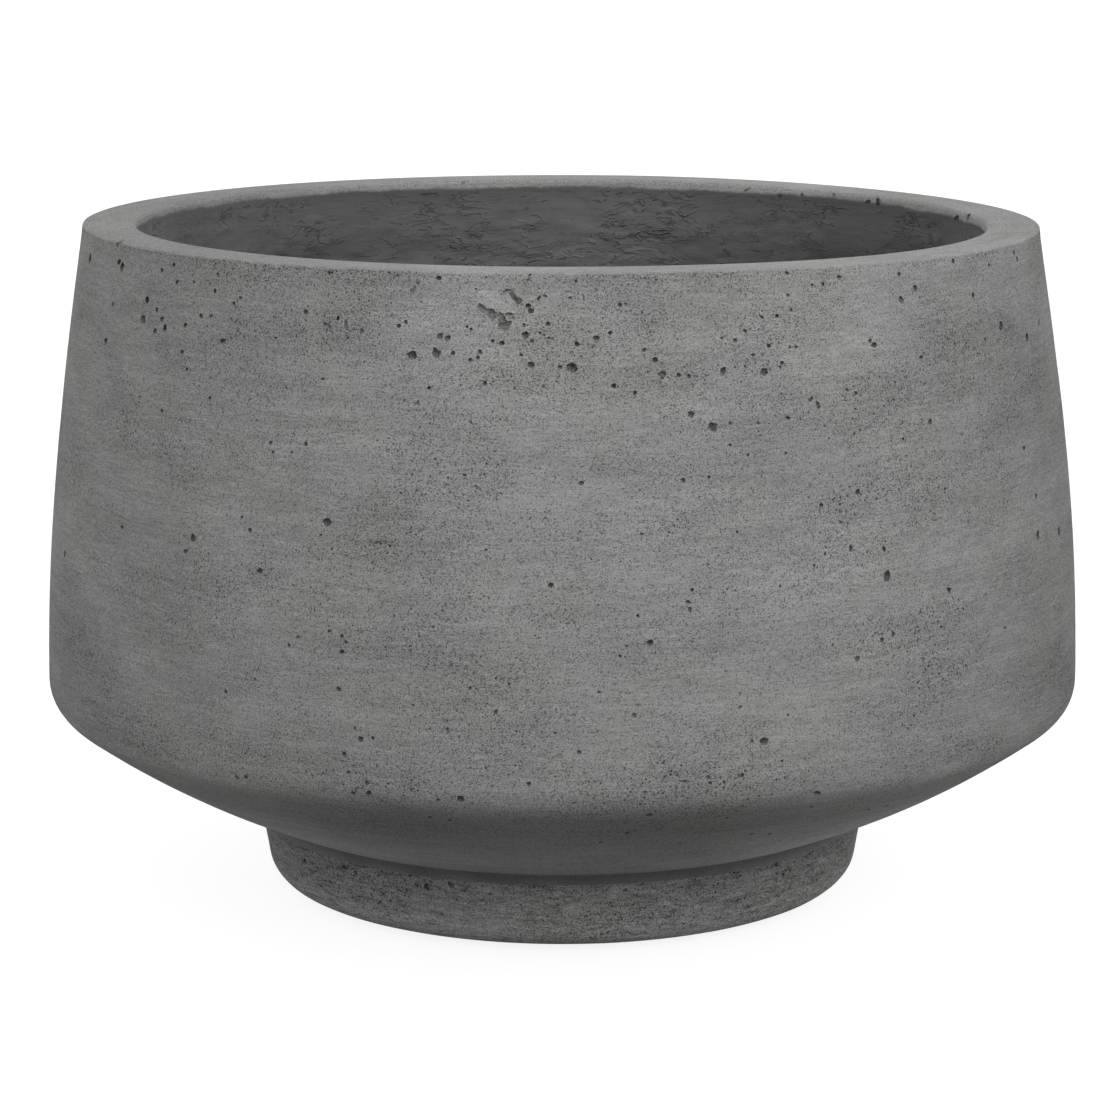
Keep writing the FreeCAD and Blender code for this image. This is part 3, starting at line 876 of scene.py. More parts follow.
class Nodes:
    """A node tree. Each method adds nodes and gives back what the next one reads."""

    def __init__(self, tree):
        self.tree = tree

    def node(self, kind):
        return self.tree.nodes.new("ShaderNode" + kind)

    def join(self, value, socket):
        """Links a socket to an input, or sets the input to a plain number, vector or colour."""
        if isinstance(value, bpy.types.NodeSocket):
            self.tree.links.new(value, socket)
        else:
            socket.default_value = value

    def joined(self, kind, *values):
        """A node with its first inputs joined to values."""
        node = self.node(kind)
        for socket, value in zip(node.inputs, values):
            self.join(value, socket)
        return node

    def made(self, kind, *values):
        """The first output, where there is one, of a node with its first inputs joined to values."""
        node = self.joined(kind, *values)
        return node.outputs[0] if node.outputs else None

    def maths(self, operation, *values):
        """Takes values together by one operation: the first two, then the result and the next."""
        total = values[0]
        for value in values[1:]:
            node = self.joined("Math", total, value)
            node.operation = operation
            total = node.outputs[0]
        return total

    def times(self, *values):
        return self.maths("MULTIPLY", *values)

    def plus(self, *values):
        return self.maths("ADD", *values)

    def most(self, *values):
        return self.maths("MAXIMUM", *values)

    def gap(self, first, second=0.0):
        """How far one value lies from another."""
        return self.maths("ABSOLUTE", self.maths("SUBTRACT", first, second), 0.0)

    def level(self, value, low, high, out_low=0.0, out_high=1.0, shape="LINEAR"):
        """Spreads a value's range from low to high over another range, and holds it there."""
        node = self.joined("MapRange", value, low, high, out_low, out_high)
        node.interpolation_type = shape
        return node.outputs[0]

    def fade(self, value, low, high):
        """One below low, nothing above high."""
        return self.level(value, low, high, 1.0, 0.0)

    def mix(self, factor, first, second, kind="RGBA"):
        node = self.node("Mix")
        node.data_type = kind
        for key, value in (("Factor", factor), ("A", first), ("B", second)):
            self.join(value, node.inputs[key])
        return node.outputs["Result"]


class Finish(Nodes):
    """A procedural material."""

    def __init__(self, name, roughness):
        self.material = bpy.data.materials.new(name)
        self.material.use_nodes = True
        super().__init__(self.material.node_tree)
        self.shader = self.tree.nodes["Principled BSDF"]
        self.shader.inputs["Roughness"].default_value = roughness
        self.place = self.node("TexCoord").outputs["Object"]

    def vary(self, pattern, low, high):
        """A factor that follows a pattern, from its low places to its high ones."""
        return self.level(pattern, *NOISE_RANGE, low, high)

    def where(self, mask, factor):
        """A factor that holds where a mask is one, and changes nothing where it is nought."""
        return self.level(mask, 0.0, 1.0, 1.0, factor)

    def vector(self, operation, first, second=(0.0, 0.0, 0.0), scale=None):
        node = self.node("VectorMath")
        node.operation = operation
        self.join(first, node.inputs[0])
        self.join(second, node.inputs[1])
        if scale is not None:
            self.join(scale, node.inputs["Scale"])
        return node.outputs["Value" if operation == "LENGTH" else "Vector"]

    def part(self, vector, name):
        return self.joined("SeparateXYZ", vector).outputs[name]

    def axis(self, name):
        return self.part(self.place, name)

    def upward(self):
        """How far the surface faces up, from minus one to one."""
        return self.part(self.node("NewGeometry").outputs["Normal"], "Z")

    def flat_place(self):
        return self.vector("MULTIPLY", self.place, (1.0, 1.0, 0.0))

    def turned_place(self):
        """A place on a turned form: its direction from the axis, and the way along the outline."""
        flat = self.flat_place()
        along = self.node("CombineXYZ")
        self.join(self.plus(self.axis("Z"), self.vector("LENGTH", flat)), along.inputs["Z"])
        return self.vector("ADD", self.vector("NORMALIZE", flat), along.outputs[0])

    def stretched(self, place, across, up):
        return self.vector("MULTIPLY", place, (across, across, up))

    def noise(self, place, per_metre, detail=2.0, roughness=0.5, distortion=0.0):
        node = self.node("TexNoise")
        keys = ("Vector", "Scale", "Detail", "Roughness", "Distortion")
        for key, value in zip(keys, (place, per_metre, detail, roughness, distortion)):
            self.join(value, node.inputs[key])
        return node.outputs["Fac"]

    def marks(self, place, across, up, detail=2.0, roughness=0.5):
        """Noise drawn out along one way, as a tool leaves it."""
        return self.noise(self.stretched(place, across, up), 1.0, detail, roughness)

    def dots(self, place, per_metre, radius):
        """Round specks with a radius given as a share of the cells that hold them."""
        node = self.node("TexVoronoi")
        self.join(place, node.inputs["Vector"])
        self.join(per_metre, node.inputs["Scale"])
        rest = self.maths("SUBTRACT", radius, node.outputs["Distance"])
        return self.level(self.maths("DIVIDE", rest, radius), 0.0, DOT_SOFTNESS)

    def attribute(self, name):
        node = self.node("Attribute")
        node.attribute_name = name
        return node.outputs["Fac"]

    def paint(self, base):
        self.join(base, self.shader.inputs["Base Color"])

    def bump(self, height, distance, strength):
        node = self.node("Bump")
        self.join(height, node.inputs["Height"])
        node.inputs["Distance"].default_value = distance
        node.inputs["Strength"].default_value = strength
        self.join(node.outputs[0], self.shader.inputs["Normal"])


def cement_finish(name, base, sizes, coat=None, filler=()):
    """Cast cement: mottled and streaked, speckled in clusters, and trowelled smooth on the rim, with painted
    shade and painted light.

    The bowl's face has the lining's coat inside its rim. The foot has none, and it is brushed instead.
    """
    f = Finish(name, 0.92)
    f.shader.inputs["Specular IOR Level"].default_value = 0.1
    turned = f.turned_place()
    out = f.vector("LENGTH", f.flat_place())
    x = f.axis("X")
    sag_across = f.level(x, *SAG_ACROSS, shape="SMOOTHSTEP")
    sag_up = f.level(f.axis("Z"), *SAG_UP, shape="SMOOTHSTEP")
    z = f.plus(f.axis("Z"), f.times(sag_across, sag_up, sizes.rim_sag))
    crease_z = FOOT_BASE_Z + sizes.foot_height
    shoulder_z = shoulder_centre(sizes, 0)[1] - sizes.shoulder_radius / 2

    # Where the rim, the dish, the crease and the filler are
    near_rim = f.level(z, RIM_Z - 0.02, RIM_Z - 0.015)
    lip = f.times(near_rim, f.fade(out, sizes.rim_radius - 0.006, sizes.rim_radius - 0.004))
    trowelled = f.most(lip, f.level(z, RIM_Z - 0.0007, RIM_Z - 0.0003))
    edge_row = f.times(f.level(z, RIM_Z - 0.004, RIM_Z - 0.001), f.fade(trowelled, 0.0, 1.0))
    dish = f.times(f.fade(z, shoulder_z - 0.001, shoulder_z + 0.005), f.level(z, crease_z - 0.001, crease_z))
    # Where painted light from the floor brightens the underside: near the foot, more away from the middle,
    # and at the sides
    dish_middle_painted_light = f.times(dish, f.fade(out, 0.142, 0.180))
    dish_sides_painted_light = f.times(dish, f.level(f.gap(x), 0.05, 0.14))
    # Where painted shade darkens the crease between the dish and the foot
    crease = f.times(f.level(z, crease_z - 0.003, crease_z), f.fade(z, crease_z, crease_z + 0.003))
    ragged = f.plus(f.times(f.noise(f.place, 160.0), 0.003), -0.0015)
    filled = 0.0
    for place, radius in filler:
        distance = f.plus(f.vector("LENGTH", f.vector("SUBTRACT", f.place, tuple(place))), ragged)
        filled = f.most(filled, f.fade(distance, radius * 0.85, radius))

    # Soft patterns, then brush marks, then specks, which gather in clusters
    clouds = f.noise(f.stretched(f.place, 1.0, 1.5), 12.0, 4.0, 0.6)
    patches = f.noise(f.stretched(f.place, 1.0, 1.8), 34.0, 4.0, 0.6)
    bands = f.marks(turned, 2.5, 170.0, 3.0, 0.6)
    streaks = f.marks(turned, 9.0, 900.0, 2.0, 0.6)
    scratches = f.marks(turned, 40.0, 1900.0, 1.0)
    clusters = f.plus(
        f.noise(f.stretched(f.place, 1.0, 2.2), 17.0, 4.0, 0.65), f.times(dish, -0.08),
        f.times(f.most(trowelled, filled), -0.25), f.times(edge_row, 0.12), 0.1 if coat is None else 0.0)
    fine = f.noise(f.stretched(f.place, 1.0, 1.3), 1750.0, 2.0, 0.6)
    coarse = f.noise(f.stretched(f.place, 1.0, 1.4), 640.0, 2.0, 0.55)
    grain = f.noise(f.place, 2600.0, 1.0)
    speck_level = f.level(clusters, 0.34, 0.66, 0.41, 0.48)
    specks = f.fade(f.maths("SUBTRACT", fine, speck_level), -0.05, 0.01)
    spot_level = f.level(clusters, 0.42, 0.68, 0.25, 0.38)
    spots = f.fade(f.maths("SUBTRACT", coarse, spot_level), -0.04, 0.01)
    pins = f.dots(f.place, 330.0, f.level(clusters, 0.36, 0.66, 0.07, 0.19))
    points = f.dots(f.place, 640.0, f.level(clusters, 0.36, 0.66, 0.07, 0.26))
    # Painted shade in the pits, chips and flake scars: darkest on faces that look down, least on faces that
    # look up
    painted_pit_shade = f.times(f.attribute("hollow"), f.level(f.upward(), -0.7, 0.7, 1.5, 0.5))

    tone = f.times(
        f.vary(clouds, 0.91, 1.07),
        f.vary(patches, 0.94, 1.05),
        f.vary(bands, 0.93, 1.06),
        f.vary(streaks, 0.92, 1.08),
        f.vary(scratches, 0.90, 1.09),
        f.vary(grain, 0.80, 1.20),
        f.level(specks, 0.0, 1.0, 1.09, 0.48),
        f.where(spots, 0.55),
        f.where(pins, 0.30),
        f.where(points, 0.32),
        # painted shade in the pits
        f.where(painted_pit_shade, 0.46),
        f.where(filled, 1.10),
        f.where(trowelled, 1.04),
        # painted shade under the bowl
        f.where(dish, 0.71),
        # painted light from the floor on the underside, near the foot and at the sides
        f.where(dish_middle_painted_light, 1.78),
        f.where(f.times(dish_middle_painted_light, f.level(f.gap(x), 0.02, 0.08)), 1.16),
        f.where(dish_sides_painted_light, 1.65),
        # painted shade in the crease
        f.where(crease, 0.70),
        # painted shade, darker towards the bottom of the bowl
        f.level(z, crease_z + 0.04, crease_z + 0.12, 0.84, 1.0),
    )
    if coat is None:
        brushed = f.marks(turned, 16.0, 620.0, 3.0, 0.6)
        tone = f.times(
            tone,
            f.vary(brushed, 0.72, 1.26),
            f.level(brushed, 0.30, 0.40, 0.72, 1.0),
            # painted shade on the foot's top under the dish, deepest at the crease
            f.level(z, crease_z - 0.022, crease_z - 0.002, 1.0, 0.78),
            f.level(z, crease_z - 0.0065, crease_z - 0.0028, 1.0, 0.80),
            # painted light on the foot's lower edge
            f.level(z, FOOT_BASE_Z + 0.002, FOOT_BASE_Z + 0.011, 1.5, 1.0),
        )
    else:
        # Painted shade on the right below the rim and on the upper right wall
        painted_shade_right = f.times(f.level(x, 0.11, 0.18), f.where(trowelled, 0.45))
        painted_shade_upper_right = f.times(f.level(x, 0.14, 0.18), f.level(z, 0.14, 0.20), f.fade(trowelled, 0.0, 1.0))
        tone = f.times(
            tone,
            # painted shade, darker towards the left
            f.level(x, -0.135, -0.02, 0.82, 1.0),
            f.where(painted_shade_right, 0.79),
            f.where(painted_shade_upper_right, 0.92),
        )
    warmth = f.level(f.noise(f.place, 30.0, 3.0), 0.35, 0.65)
    tint = f.mix(warmth, (0.990, 0.995, 1.0, 1.0), (1.0, 1.0, 0.976, 1.0))
    cement = f.vector("SCALE", f.vector("MULTIPLY", tint, tuple(base)), scale=tone)
    if coat is not None:
        mouth = sizes.rim_radius - sizes.rim_width
        waver = f.plus(f.times(f.noise(f.place, 45.0, 3.0), 0.003), f.times(f.noise(f.place, 330.0), 0.0012))
        edge = f.plus(waver, RIM_Z - sizes.coat_drop - 0.0021)
        below = f.fade(f.maths("SUBTRACT", z, edge), -0.0006, 0.0007)
        within = f.fade(out, mouth + 0.0015, mouth + 0.0025)
        coated = f.vector("SCALE", tuple(coat), scale=coat_tone_and_painted_shade(f, turned))
        cement = f.mix(f.times(below, within, near_rim), cement, coated)
    f.paint(cement)
    relief = f.plus(
        f.times(grain, 0.25), f.times(fine, 0.5), f.times(coarse, 0.5), f.times(streaks, 0.5),
        f.times(specks, -0.5), f.times(spots, -0.8), f.times(pins, -1.0), f.times(points, -0.5),
    )
    f.bump(f.times(relief, f.where(trowelled, 0.3)), 0.0004, 0.6)
    return f.material


def coat_tone_and_painted_shade(f, turned):
    """How light the lining's coat is from place to place: brushed round the bowl, with painted shade just
    under the rim, painted light below that in the middle, less of it deeper down, and painted shade towards
    the sides and on the right.
    """
    x, z = f.axis("X"), f.axis("Z")
    middle = f.level(f.gap(x), 0.09, 0.14, 1.0, 0.3)
    return f.times(
        # painted shade just under the rim and painted light below it, in the middle
        f.plus(f.times(f.level(z, 0.2245, 0.254, 0.28, -0.30), middle), 1.0),
        # less painted light deeper down
        f.level(z, 0.17, 0.22, 0.80, 1.0),
        f.vary(f.noise(f.place, 18.0, 4.0, 0.6), 0.90, 1.10),
        f.vary(f.marks(turned, 10.0, 500.0, 3.0, 0.6), 0.95, 1.05),
        f.vary(f.noise(f.place, 1300.0, 2.0, 0.7), 0.92, 1.08),
        # painted light in the middle and painted shade towards the sides and on the right
        f.level(f.gap(x), 0.03, 0.12, 1.18, 0.86),
        f.level(x, 0.05, 0.15, 1.0, 0.93),
    )


def lining_finish(name, base):
    """A dark coat brushed over fibre mat, with sharp creases in clusters."""
    f = Finish(name, 0.85)
    f.shader.inputs["Specular IOR Level"].default_value = 0.3
    turned = f.turned_place()
    flat = f.stretched(f.place, 1.0, 2.6)
    clusters = f.level(f.noise(f.place, 26.0, 3.0, 0.6), 0.44, 0.60, 0.12, 1.0)
    fold_lines = f.fade(f.gap(f.noise(flat, 48.0, 3.0, 0.55, 0.8), 0.5), 0.0, 0.022)
    folds = f.times(fold_lines, f.level(f.noise(flat, 62.0), 0.47, 0.56))
    torn_lines = f.fade(f.gap(f.noise(flat, 105.0, 3.0, 0.6, 1.0), 0.52), 0.0, 0.03)
    edges = f.times(torn_lines, f.level(f.noise(flat, 120.0), 0.50, 0.58))
    raised = f.times(f.most(folds, edges), clusters)
    crumples = f.times(f.noise(flat, 90.0, 4.0, 0.65, 0.6), clusters)
    brush = f.marks(turned, 10.0, 500.0, 3.0, 0.6)
    grain = f.noise(f.place, 1300.0, 2.0, 0.7)
    tone = f.times(coat_tone_and_painted_shade(f, turned), f.where(raised, 1.12))
    f.paint(f.vector("SCALE", tuple(base), scale=tone))
    relief = f.plus(
        f.times(raised, 0.75), f.times(crumples, 0.9), f.times(brush, 0.15), f.times(grain, 0.08))
    f.bump(relief, 0.0013, 1.0)
    return f.material


def mortar_finish(name, base, crease_z):
    """Sandy mortar, uneven in tone, with painted shade darkest under the dish and painted light towards the
    foot and at the sides.
    """
    f = Finish(name, 0.95)
    sand = f.noise(f.place, 1200.0, 2.0, 0.8)
    tone = f.times(
        f.vary(f.noise(f.place, 60.0, 3.0), 0.8, 1.15),
        f.level(sand, 0.25, 0.75, 0.75, 1.25),
        # painted shade under the dish, painted light towards the foot
        f.level(f.axis("Z"), crease_z - 0.005, crease_z - 0.001, 1.45, 0.85),
        # painted light at the sides
        f.level(f.gap(f.axis("X")), 0.03, 0.10, 1.0, 1.4),
    )
    f.paint(f.vector("SCALE", tuple(base), scale=tone))
    f.bump(sand, 0.0005, 0.8)
    return f.material


def moulded_finish(name, base, roughness, dustiness):
    """Moulded rubber or plastic: a fine spark-eroded grain, with pale cement dust in patches."""
    f = Finish(name, roughness)
    grain = f.noise(f.place, 2600.0, 2.0, 0.6)
    patches = f.noise(f.place, 130.0, 4.0, 0.65)
    dust = f.times(f.level(patches, 0.45, 0.75, 0.0, dustiness), f.level(grain, 0.35, 0.65, 0.4, 1.0))
    plain = f.vector("SCALE", tuple(base), scale=f.vary(grain, 0.85, 1.15))
    f.paint(f.mix(dust, plain, DUST_COLOUR))
    f.bump(grain, 0.0001, 0.5)
    return f.material


# One operator for each piece or group of like pieces


class POT_OT_face(bpy.types.Operator):
    """Make the cement face of the bowl, with its rim, pits and flakes"""

    bl_idname = "pot.face"
    bl_label = "Cement Face"

    def execute(self, context):
        sizes, studio = context.scene.pot_sizes, context.scene.pot_studio
        colours = context.scene.pot_colours
        rng = random.Random(sizes.pit_seed)
        piece = turn_piece("cement_face", face_section(sizes), FACE_STEPS)

        def outside(out, z, facing, upward):
            under = upward < -0.3 and z < BELLY_RADIUS / 2
            side = facing > 0.3 and z < RIM_Z - sizes.rim_depth / 2
            return 1.0 if side or under else 0.0

        group = mark(piece, "outside", outside)
        sag = texture("sag", "CLOUDS", 0.06, noise_depth=1)
        uneven(piece, group, sag, sizes.unevenness, 1.0, 0.6)
        ripple = texture("ripple", "CLOUDS", 0.011, noise_depth=2)
        uneven(piece, group, ripple, sizes.unevenness / 2, 1.0, 0.5)
        piece.vertex_groups.clear()
        sag_rim(piece, sizes)
        set_hollow(piece, 0.0)
        context.view_layer.update()

        # Every place is found on the whole surface before the first cut
        seen = UPPER_WALL_PITS + LEFT_WALL_PITS + MIDDLE_WALL_PITS
        small_seen = [pit for pit in seen if pit[2] <= SMALL_PIT]
        large_seen = [pit for pit in seen if pit[2] > SMALL_PIT]
        small = photo_pits(piece, studio, rng, small_seen, WALL_PIT_DEPTH)
        large = photo_pits(piece, studio, rng, large_seen, WALL_PIT_DEPTH)
        shoulder = photo_pits(piece, studio, rng, SHOULDER_PITS, SHOULDER_PIT_DEPTH)
        belly_z = shoulder_centre(sizes, 0)[1]
        small += wall_pits(piece, rng, sizes.wall_pit_count, belly_z, RIM_Z - sizes.rim_depth)
        dish_edge = BELLY_RADIUS - sizes.shoulder_radius
        small += dish_pits(piece, rng, sizes.dish_pit_count, sizes.foot_top_radius, dish_edge)
        chips = photo_pits(piece, studio, rng, RIM_CHIPS, CHIP_DEPTH)
        scars = photo_pits(piece, studio, rng, FLAKE_SCARS, SCAR_DEPTH, SCAR_LEAN)
        filler = filler_places(piece, studio)

        balls = lumpy_balls(FACE_BALLS, LARGE_PIT_DETAIL)
        small_balls = lumpy_balls(FACE_BALLS, SMALL_PIT_DETAIL)
        carve(piece, balls, scars, SCAR_HOLLOW)
        carve(piece, balls, large, LARGE_PIT_HOLLOW)
        carve(piece, small_balls, small, SMALL_PIT_HOLLOW)
        carve(piece, small_balls, shoulder, SHOULDER_PIT_HOLLOW)
        carve(piece, balls, chips, CHIP_HOLLOW)
        discard(*balls, *small_balls)
        smooth(piece)
        material = cement_finish("cast_cement", colours.cement, sizes, colours.lining, filler)
        settle(piece, material, "cement_face", "pot", "face_shell")
        return {"FINISHED"}


class POT_OT_lining(bpy.types.Operator):
    """Make the wrinkled fibre lining inside the bowl"""

    bl_idname = "pot.lining"
    bl_label = "Fibre Lining"

    def execute(self, context):
        sizes = context.scene.pot_sizes
        piece = turn_piece("fibre_lining", lining_section(sizes), LINING_STEPS)
        seat_edge = sizes.seat_radius + sizes.lining_thickness

        def inside(out, z, facing, upward):
            if facing > 0.1 or (upward < 0.1 and facing > -0.1) or out < sizes.seat_radius + WELD:
                return 0.0
            below_rim = min(1.0, max(0.0, (LINING_TOP_Z - z) / sizes.rim_depth))
            off_seat = min(1.0, max(0.0, (out - seat_edge) / seat_edge))
            return below_rim * off_seat

        group = mark(piece, "inside", inside)
        depth = sizes.wrinkle_depth
        uneven(piece, group, texture("lumps", "CLOUDS", 0.05, noise_depth=1), depth, 0.5, 0.6)
        crumples = texture("crumples", "DISTORTED_NOISE", 0.016, distortion=1.2)
        uneven(piece, group, crumples, depth / 2, 0.5, 0.4)
        piece.vertex_groups.clear()
        sag_rim(piece, sizes)
        smooth(piece)
        material = lining_finish("coated_fibre", context.scene.pot_colours.lining)
        settle(piece, material, "fibre_mat", "pot", "fibre_backing")
        return {"FINISHED"}


class POT_OT_foot(bpy.types.Operator):
    """Make the foot ring, with its pits and the pockets for its pads"""

    bl_idname = "pot.foot"
    bl_label = "Foot Ring"

    def execute(self, context):
        sizes, studio = context.scene.pot_sizes, context.scene.pot_studio
        rng = random.Random(sizes.pit_seed + 1)
        piece = turn_piece("foot", foot_section(sizes), FOOT_STEPS)
        group = mark(piece, "side", lambda out, z, facing, upward: 1.0 if facing > 0.2 else 0.0)
        sag = texture("sag", "CLOUDS", 0.03, noise_depth=1)
        uneven(piece, group, sag, sizes.unevenness, 1.0, 0.5)
        piece.vertex_groups.clear()
        set_hollow(piece, 0.0)
        context.view_layer.update()
        low = FOOT_BASE_Z + sizes.foot_height / 4
        high = FOOT_BASE_Z + sizes.foot_height * 0.85
        pits = photo_pits(piece, studio, rng, FOOT_PITS, FOOT_PIT_DEPTH)
        pits += wall_pits(piece, rng, sizes.foot_pit_count, low, high)
        balls = lumpy_balls(FOOT_BALLS, SMALL_PIT_DETAIL)
        carve(piece, balls, pits, FOOT_PIT_HOLLOW)
        discard(*balls)
        for node in PAD_NODES:
            x, y, radius = pad_place(node)
            unpick()
            bpy.ops.mesh.primitive_cylinder_add(
                vertices=SMALL_STEPS, radius=radius + sizes.pad_pocket_gap,
                depth=2 * sizes.pad_pocket_depth, location=(x, y, FOOT_BASE_Z))
            pocket = named("pocket_cutter")
            set_hollow(pocket, POCKET_HOLLOW)
            combine(piece, pocket, "DIFFERENCE")
        smooth(piece)
        material = cement_finish("foot_cement", context.scene.pot_colours.foot, sizes)
        settle(piece, material, "cement_foot", "pot", "foot_ring")
        return {"FINISHED"}


class POT_OT_mortar(bpy.types.Operator):
    """Make the mortar bed between the dish and the foot"""

    bl_idname = "pot.mortar"
    bl_label = "Mortar Bed"

    def execute(self, context):
        sizes = context.scene.pot_sizes
        piece = turn_piece("mortar", mortar_section(sizes), FOOT_STEPS)
        smooth(piece)
        crease_z = FOOT_BASE_Z + sizes.foot_height
        material = mortar_finish("joint_mortar", context.scene.pot_colours.mortar, crease_z)
        settle(piece, material, "mortar", "pot", "mortar_bed")
        return {"FINISHED"}


class POT_OT_sleeve(bpy.types.Operator):
    """Make the plastic sleeve that lines the drain hole"""

    bl_idname = "pot.sleeve"
    bl_label = "Drain Sleeve"

    def execute(self, context):
        piece = turn_piece("sleeve", sleeve_section(context.scene.pot_sizes), SMALL_STEPS)
        smooth(piece)
        material = moulded_finish("sleeve_plastic", context.scene.pot_colours.sleeve, 0.45, 0.5)
        settle(piece, material, "sleeve_plastic", "pot", "drain_sleeve")
        return {"FINISHED"}


class POT_OT_plug(bpy.types.Operator):
    """Make the rubber plug, with a ribbed grip"""

    bl_idname = "pot.plug"
    bl_label = "Drain Plug"

    def execute(self, context):
        sizes = context.scene.pot_sizes
        piece = turn_piece("plug", plug_section(sizes), SMALL_STEPS)
        combine(piece, self.grip(sizes), "UNION")
        smooth(piece)
        material = moulded_finish("plug_rubber", context.scene.pot_colours.plug, 0.7, 0.4)
        settle(piece, material, "plug_rubber", "plug", "drain_plug")
        return {"FINISHED"}

    def grip(self, sizes):
        """A rounded tab with three ribs on each face."""
        thin = sizes.grip_thickness - 2 * sizes.ring_depth
        tab = draw_line("grip", grip_outline(sizes))
        bpy.ops.object.mode_set(mode="EDIT")
        bpy.ops.mesh.select_all(action="SELECT")
        bpy.ops.mesh.remove_doubles(threshold=WELD)
        bpy.ops.mesh.edge_face_add()
        bpy.ops.transform.translate(value=(0, -thin / 2, 0))
        bpy.ops.mesh.extrude_region_move(TRANSFORM_OT_translate={"value": (0, thin, 0)})
        bpy.ops.object.mode_set(mode="OBJECT")
        close_up(tab)
        corners = {"limit_method": "ANGLE", "angle_limit": GRIP_BEVEL_ANGLE}
        add_modifier(tab, "BEVEL", width=sizes.plug_edge, segments=4, **corners)
        middle_z = sleeve_high.z + sizes.plug_flange + sizes.grip_rise
        for number in (0, 1, 2):
            unpick()
            rib_z = middle_z + number * 2 * sizes.plug_edge
            bpy.ops.mesh.primitive_cube_add(size=1, location=(0, 0, rib_z))
            rib = named("grip_rib")
            rib.scale = (sizes.grip_radius * (1.3 - 0.2 * number), sizes.grip_thickness, sizes.plug_edge)
            bpy.ops.object.transform_apply(location=True, rotation=False, scale=True)
            add_modifier(rib, "BEVEL", width=sizes.ring_depth, segments=3)
            combine(tab, rib, "UNION")
        return tab


class POT_OT_pads(bpy.types.Operator):
    """Make the rubber pads under the foot"""

    bl_idname = "pot.pads"
    bl_label = "Foot Pads"

    def execute(self, context):
        sizes = context.scene.pot_sizes
        low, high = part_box(PAD_NODES[0])
        section = pad_section(sizes, (high.x - low.x) / 2, low.z, high.z)
        first = turn_piece("pad", section, SMALL_STEPS)
        smooth(first)
        rubber = moulded_finish("pad_rubber", context.scene.pot_colours.pad, 0.75, 0.5)
        for number, node in enumerate(PAD_NODES, start=1):
            x, y, _ = pad_place(node)
            pad = first.copy()
            pad.data = first.data.copy()
            pad.name = pad.data.name = f"pad_{number}"
            context.collection.objects.link(pad)
            pad.location = (x, y, 0)
            pick(pad)
            bpy.ops.object.transform_apply(location=True, rotation=False, scale=False)
            settle(pad, rubber, "pad_rubber", "pot", node)
        discard(first)
        return {"FINISHED"}


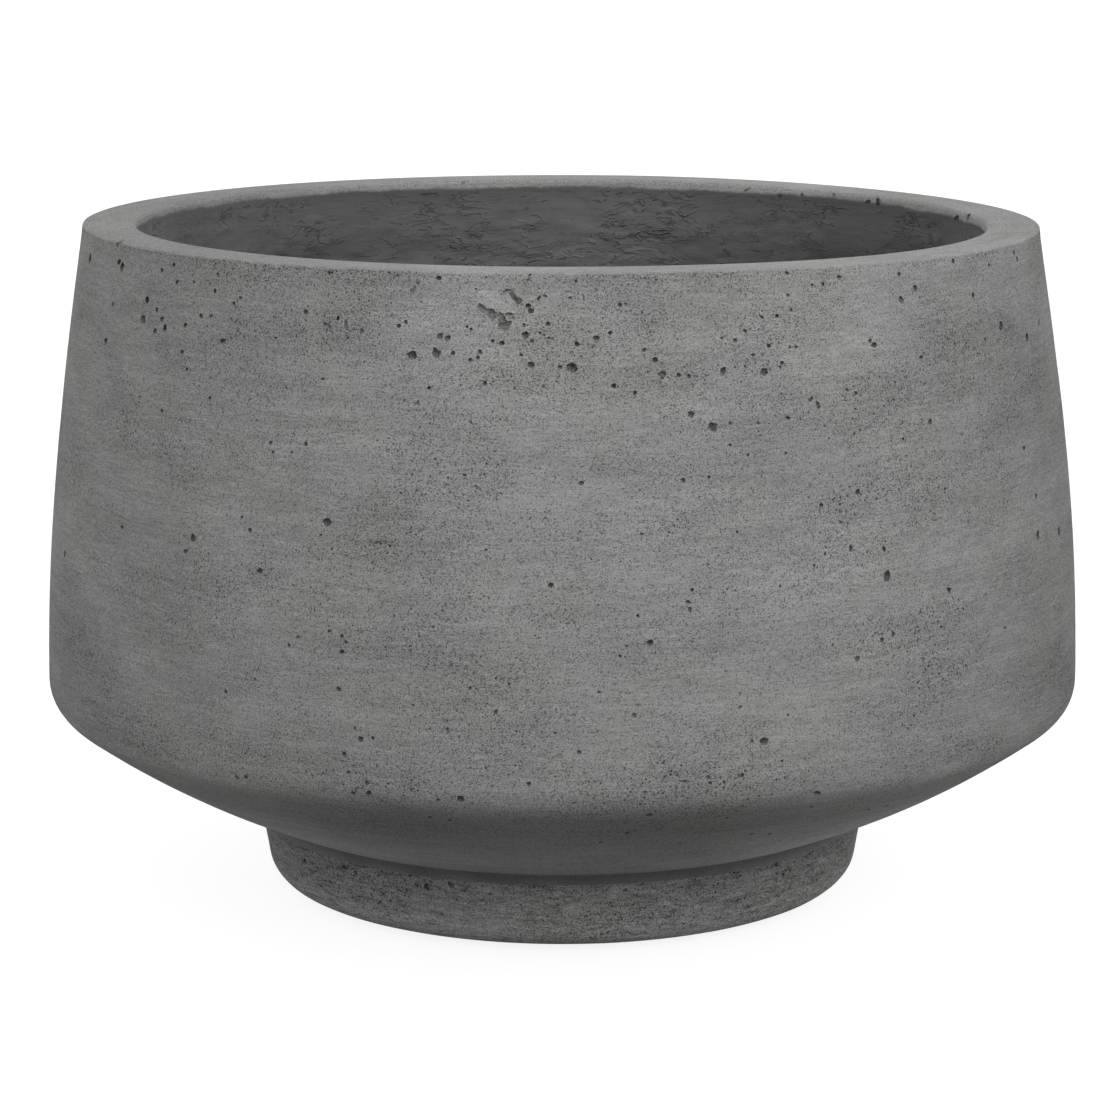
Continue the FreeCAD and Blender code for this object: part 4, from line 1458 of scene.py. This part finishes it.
class POT_OT_stage(bpy.types.Operator):
    """Lay the floor, light the pot and set the camera"""

    bl_idname = "pot.stage"
    bl_label = "Floor, Light and Camera"

    def execute(self, context):
        studio, colours = context.scene.pot_studio, context.scene.pot_colours
        self.lay_floor(studio, colours)
        self.light_world(context.scene, studio)
        self.hang_key(studio)
        self.set_camera(context.scene, studio)
        context.scene.view_settings.view_transform = "Standard"
        return {"FINISHED"}

    def seen_by_eye(self, f):
        """One for camera, mirror and glass rays, and nothing for the light that falls on the pot."""
        path = f.node("LightPath")
        return f.most(*(path.outputs[f"Is {ray} Ray"] for ray in ("Camera", "Glossy", "Transmission")))

    def lay_floor(self, studio, colours):
        """A floor that looks white but for the pot's shadow, and that is clear from below."""
        unpick()
        bpy.ops.mesh.primitive_plane_add(size=studio.floor_size, location=(0, 0, -studio.floor_drop))
        floor = named("floor")
        material = bpy.data.materials.new("white_floor")
        material.use_nodes = True
        f = Nodes(material.node_tree)
        f.tree.nodes.clear()
        eye = self.seen_by_eye(f)
        shaded = (studio.shadow_depth, studio.shadow_depth, studio.shadow_depth, 1.0)
        tint = f.mix(eye, (*colours.floor_bounce, 1.0), shaded)
        glow = f.times(eye, 1.0 - studio.shadow_depth * studio.floor_light)
        lit = f.made("AddShader", f.made("BsdfDiffuse", tint), f.made("Emission", WHITE, glow))
        side = f.node("NewGeometry").outputs["Backfacing"]
        f.made("OutputMaterial", f.made("MixShader", side, lit, f.made("BsdfTransparent")))
        floor.data.materials.append(material)

    def light_world(self, scene, studio):
        """A soft surround, brighter above the horizon and behind, that looks white behind the pot."""
        world = bpy.data.worlds.new("soft_surround")
        scene.world = world
        world.use_nodes = True
        f = Nodes(world.node_tree)
        f.tree.nodes.clear()
        way = f.joined("SeparateXYZ", f.node("TexCoord").outputs["Generated"])
        light = f.times(
            f.level(way.outputs["Z"], *SURROUND_RISE, studio.horizon_light, studio.side_light),
            f.level(way.outputs["Z"], *SURROUND_FALL, 1.0, studio.zenith_light / studio.side_light),
            f.level(way.outputs["Y"], *SURROUND_BACK, 1.0, studio.back_light),
        )
        strength = f.mix(self.seen_by_eye(f), light, 1.0, "FLOAT")
        f.made("OutputWorld", f.made("Background", WHITE, strength))

    def hang_key(self, studio):
        bpy.ops.object.light_add(type="SUN")
        key = bpy.context.object
        key.name = "key_lamp"
        key.data.energy = studio.key_strength
        key.data.angle = studio.key_softness
        key.rotation_euler = (math.pi / 2 - studio.key_height, 0, studio.key_side)

    def set_camera(self, scene, studio):
        place = (studio.camera_side, -studio.camera_distance, studio.camera_height)
        bpy.ops.object.camera_add(location=place, rotation=(math.pi / 2 - studio.camera_tilt, 0, 0))
        camera = bpy.context.object
        camera.name = "photo_camera"
        camera.data.sensor_fit = "HORIZONTAL"
        camera.data.sensor_width = SENSOR_WIDTH
        camera.data.lens = studio.lens
        scene.camera = camera


STEPS = (
    POT_OT_stage, POT_OT_face, POT_OT_lining, POT_OT_foot, POT_OT_mortar, POT_OT_sleeve, POT_OT_plug,
    POT_OT_pads,
)


class POT_PT_sidebar(bpy.types.Panel):
    """The pot's sizes, colours and steps"""

    bl_idname = "POT_PT_sidebar"
    bl_label = "Flower Pot"
    bl_space_type = "VIEW_3D"
    bl_region_type = "UI"
    bl_category = "Flower Pot"

    def draw(self, context):
        for step in STEPS:
            self.layout.operator(step.bl_idname)
        for group in (context.scene.pot_sizes, context.scene.pot_colours, context.scene.pot_studio):
            box = self.layout.box()
            for key in group.__annotations__:
                box.prop(group, key)


CLASSES = (PotSizes, PotColours, PotStudio, *STEPS, POT_PT_sidebar)


def register():
    for kind in CLASSES:
        bpy.utils.register_class(kind)
    bpy.types.Scene.pot_sizes = PointerProperty(type=PotSizes)
    bpy.types.Scene.pot_colours = PointerProperty(type=PotColours)
    bpy.types.Scene.pot_studio = PointerProperty(type=PotStudio)


def unregister():
    del bpy.types.Scene.pot_studio
    del bpy.types.Scene.pot_colours
    del bpy.types.Scene.pot_sizes
    for kind in reversed(CLASSES):
        bpy.utils.unregister_class(kind)


def main():
    register()
    bpy.ops.pot.stage()
    bpy.ops.pot.face()
    bpy.ops.pot.lining()
    bpy.ops.pot.foot()
    bpy.ops.pot.mortar()
    bpy.ops.pot.sleeve()
    bpy.ops.pot.plug()
    bpy.ops.pot.pads()


if __name__ == "__main__":
    main()
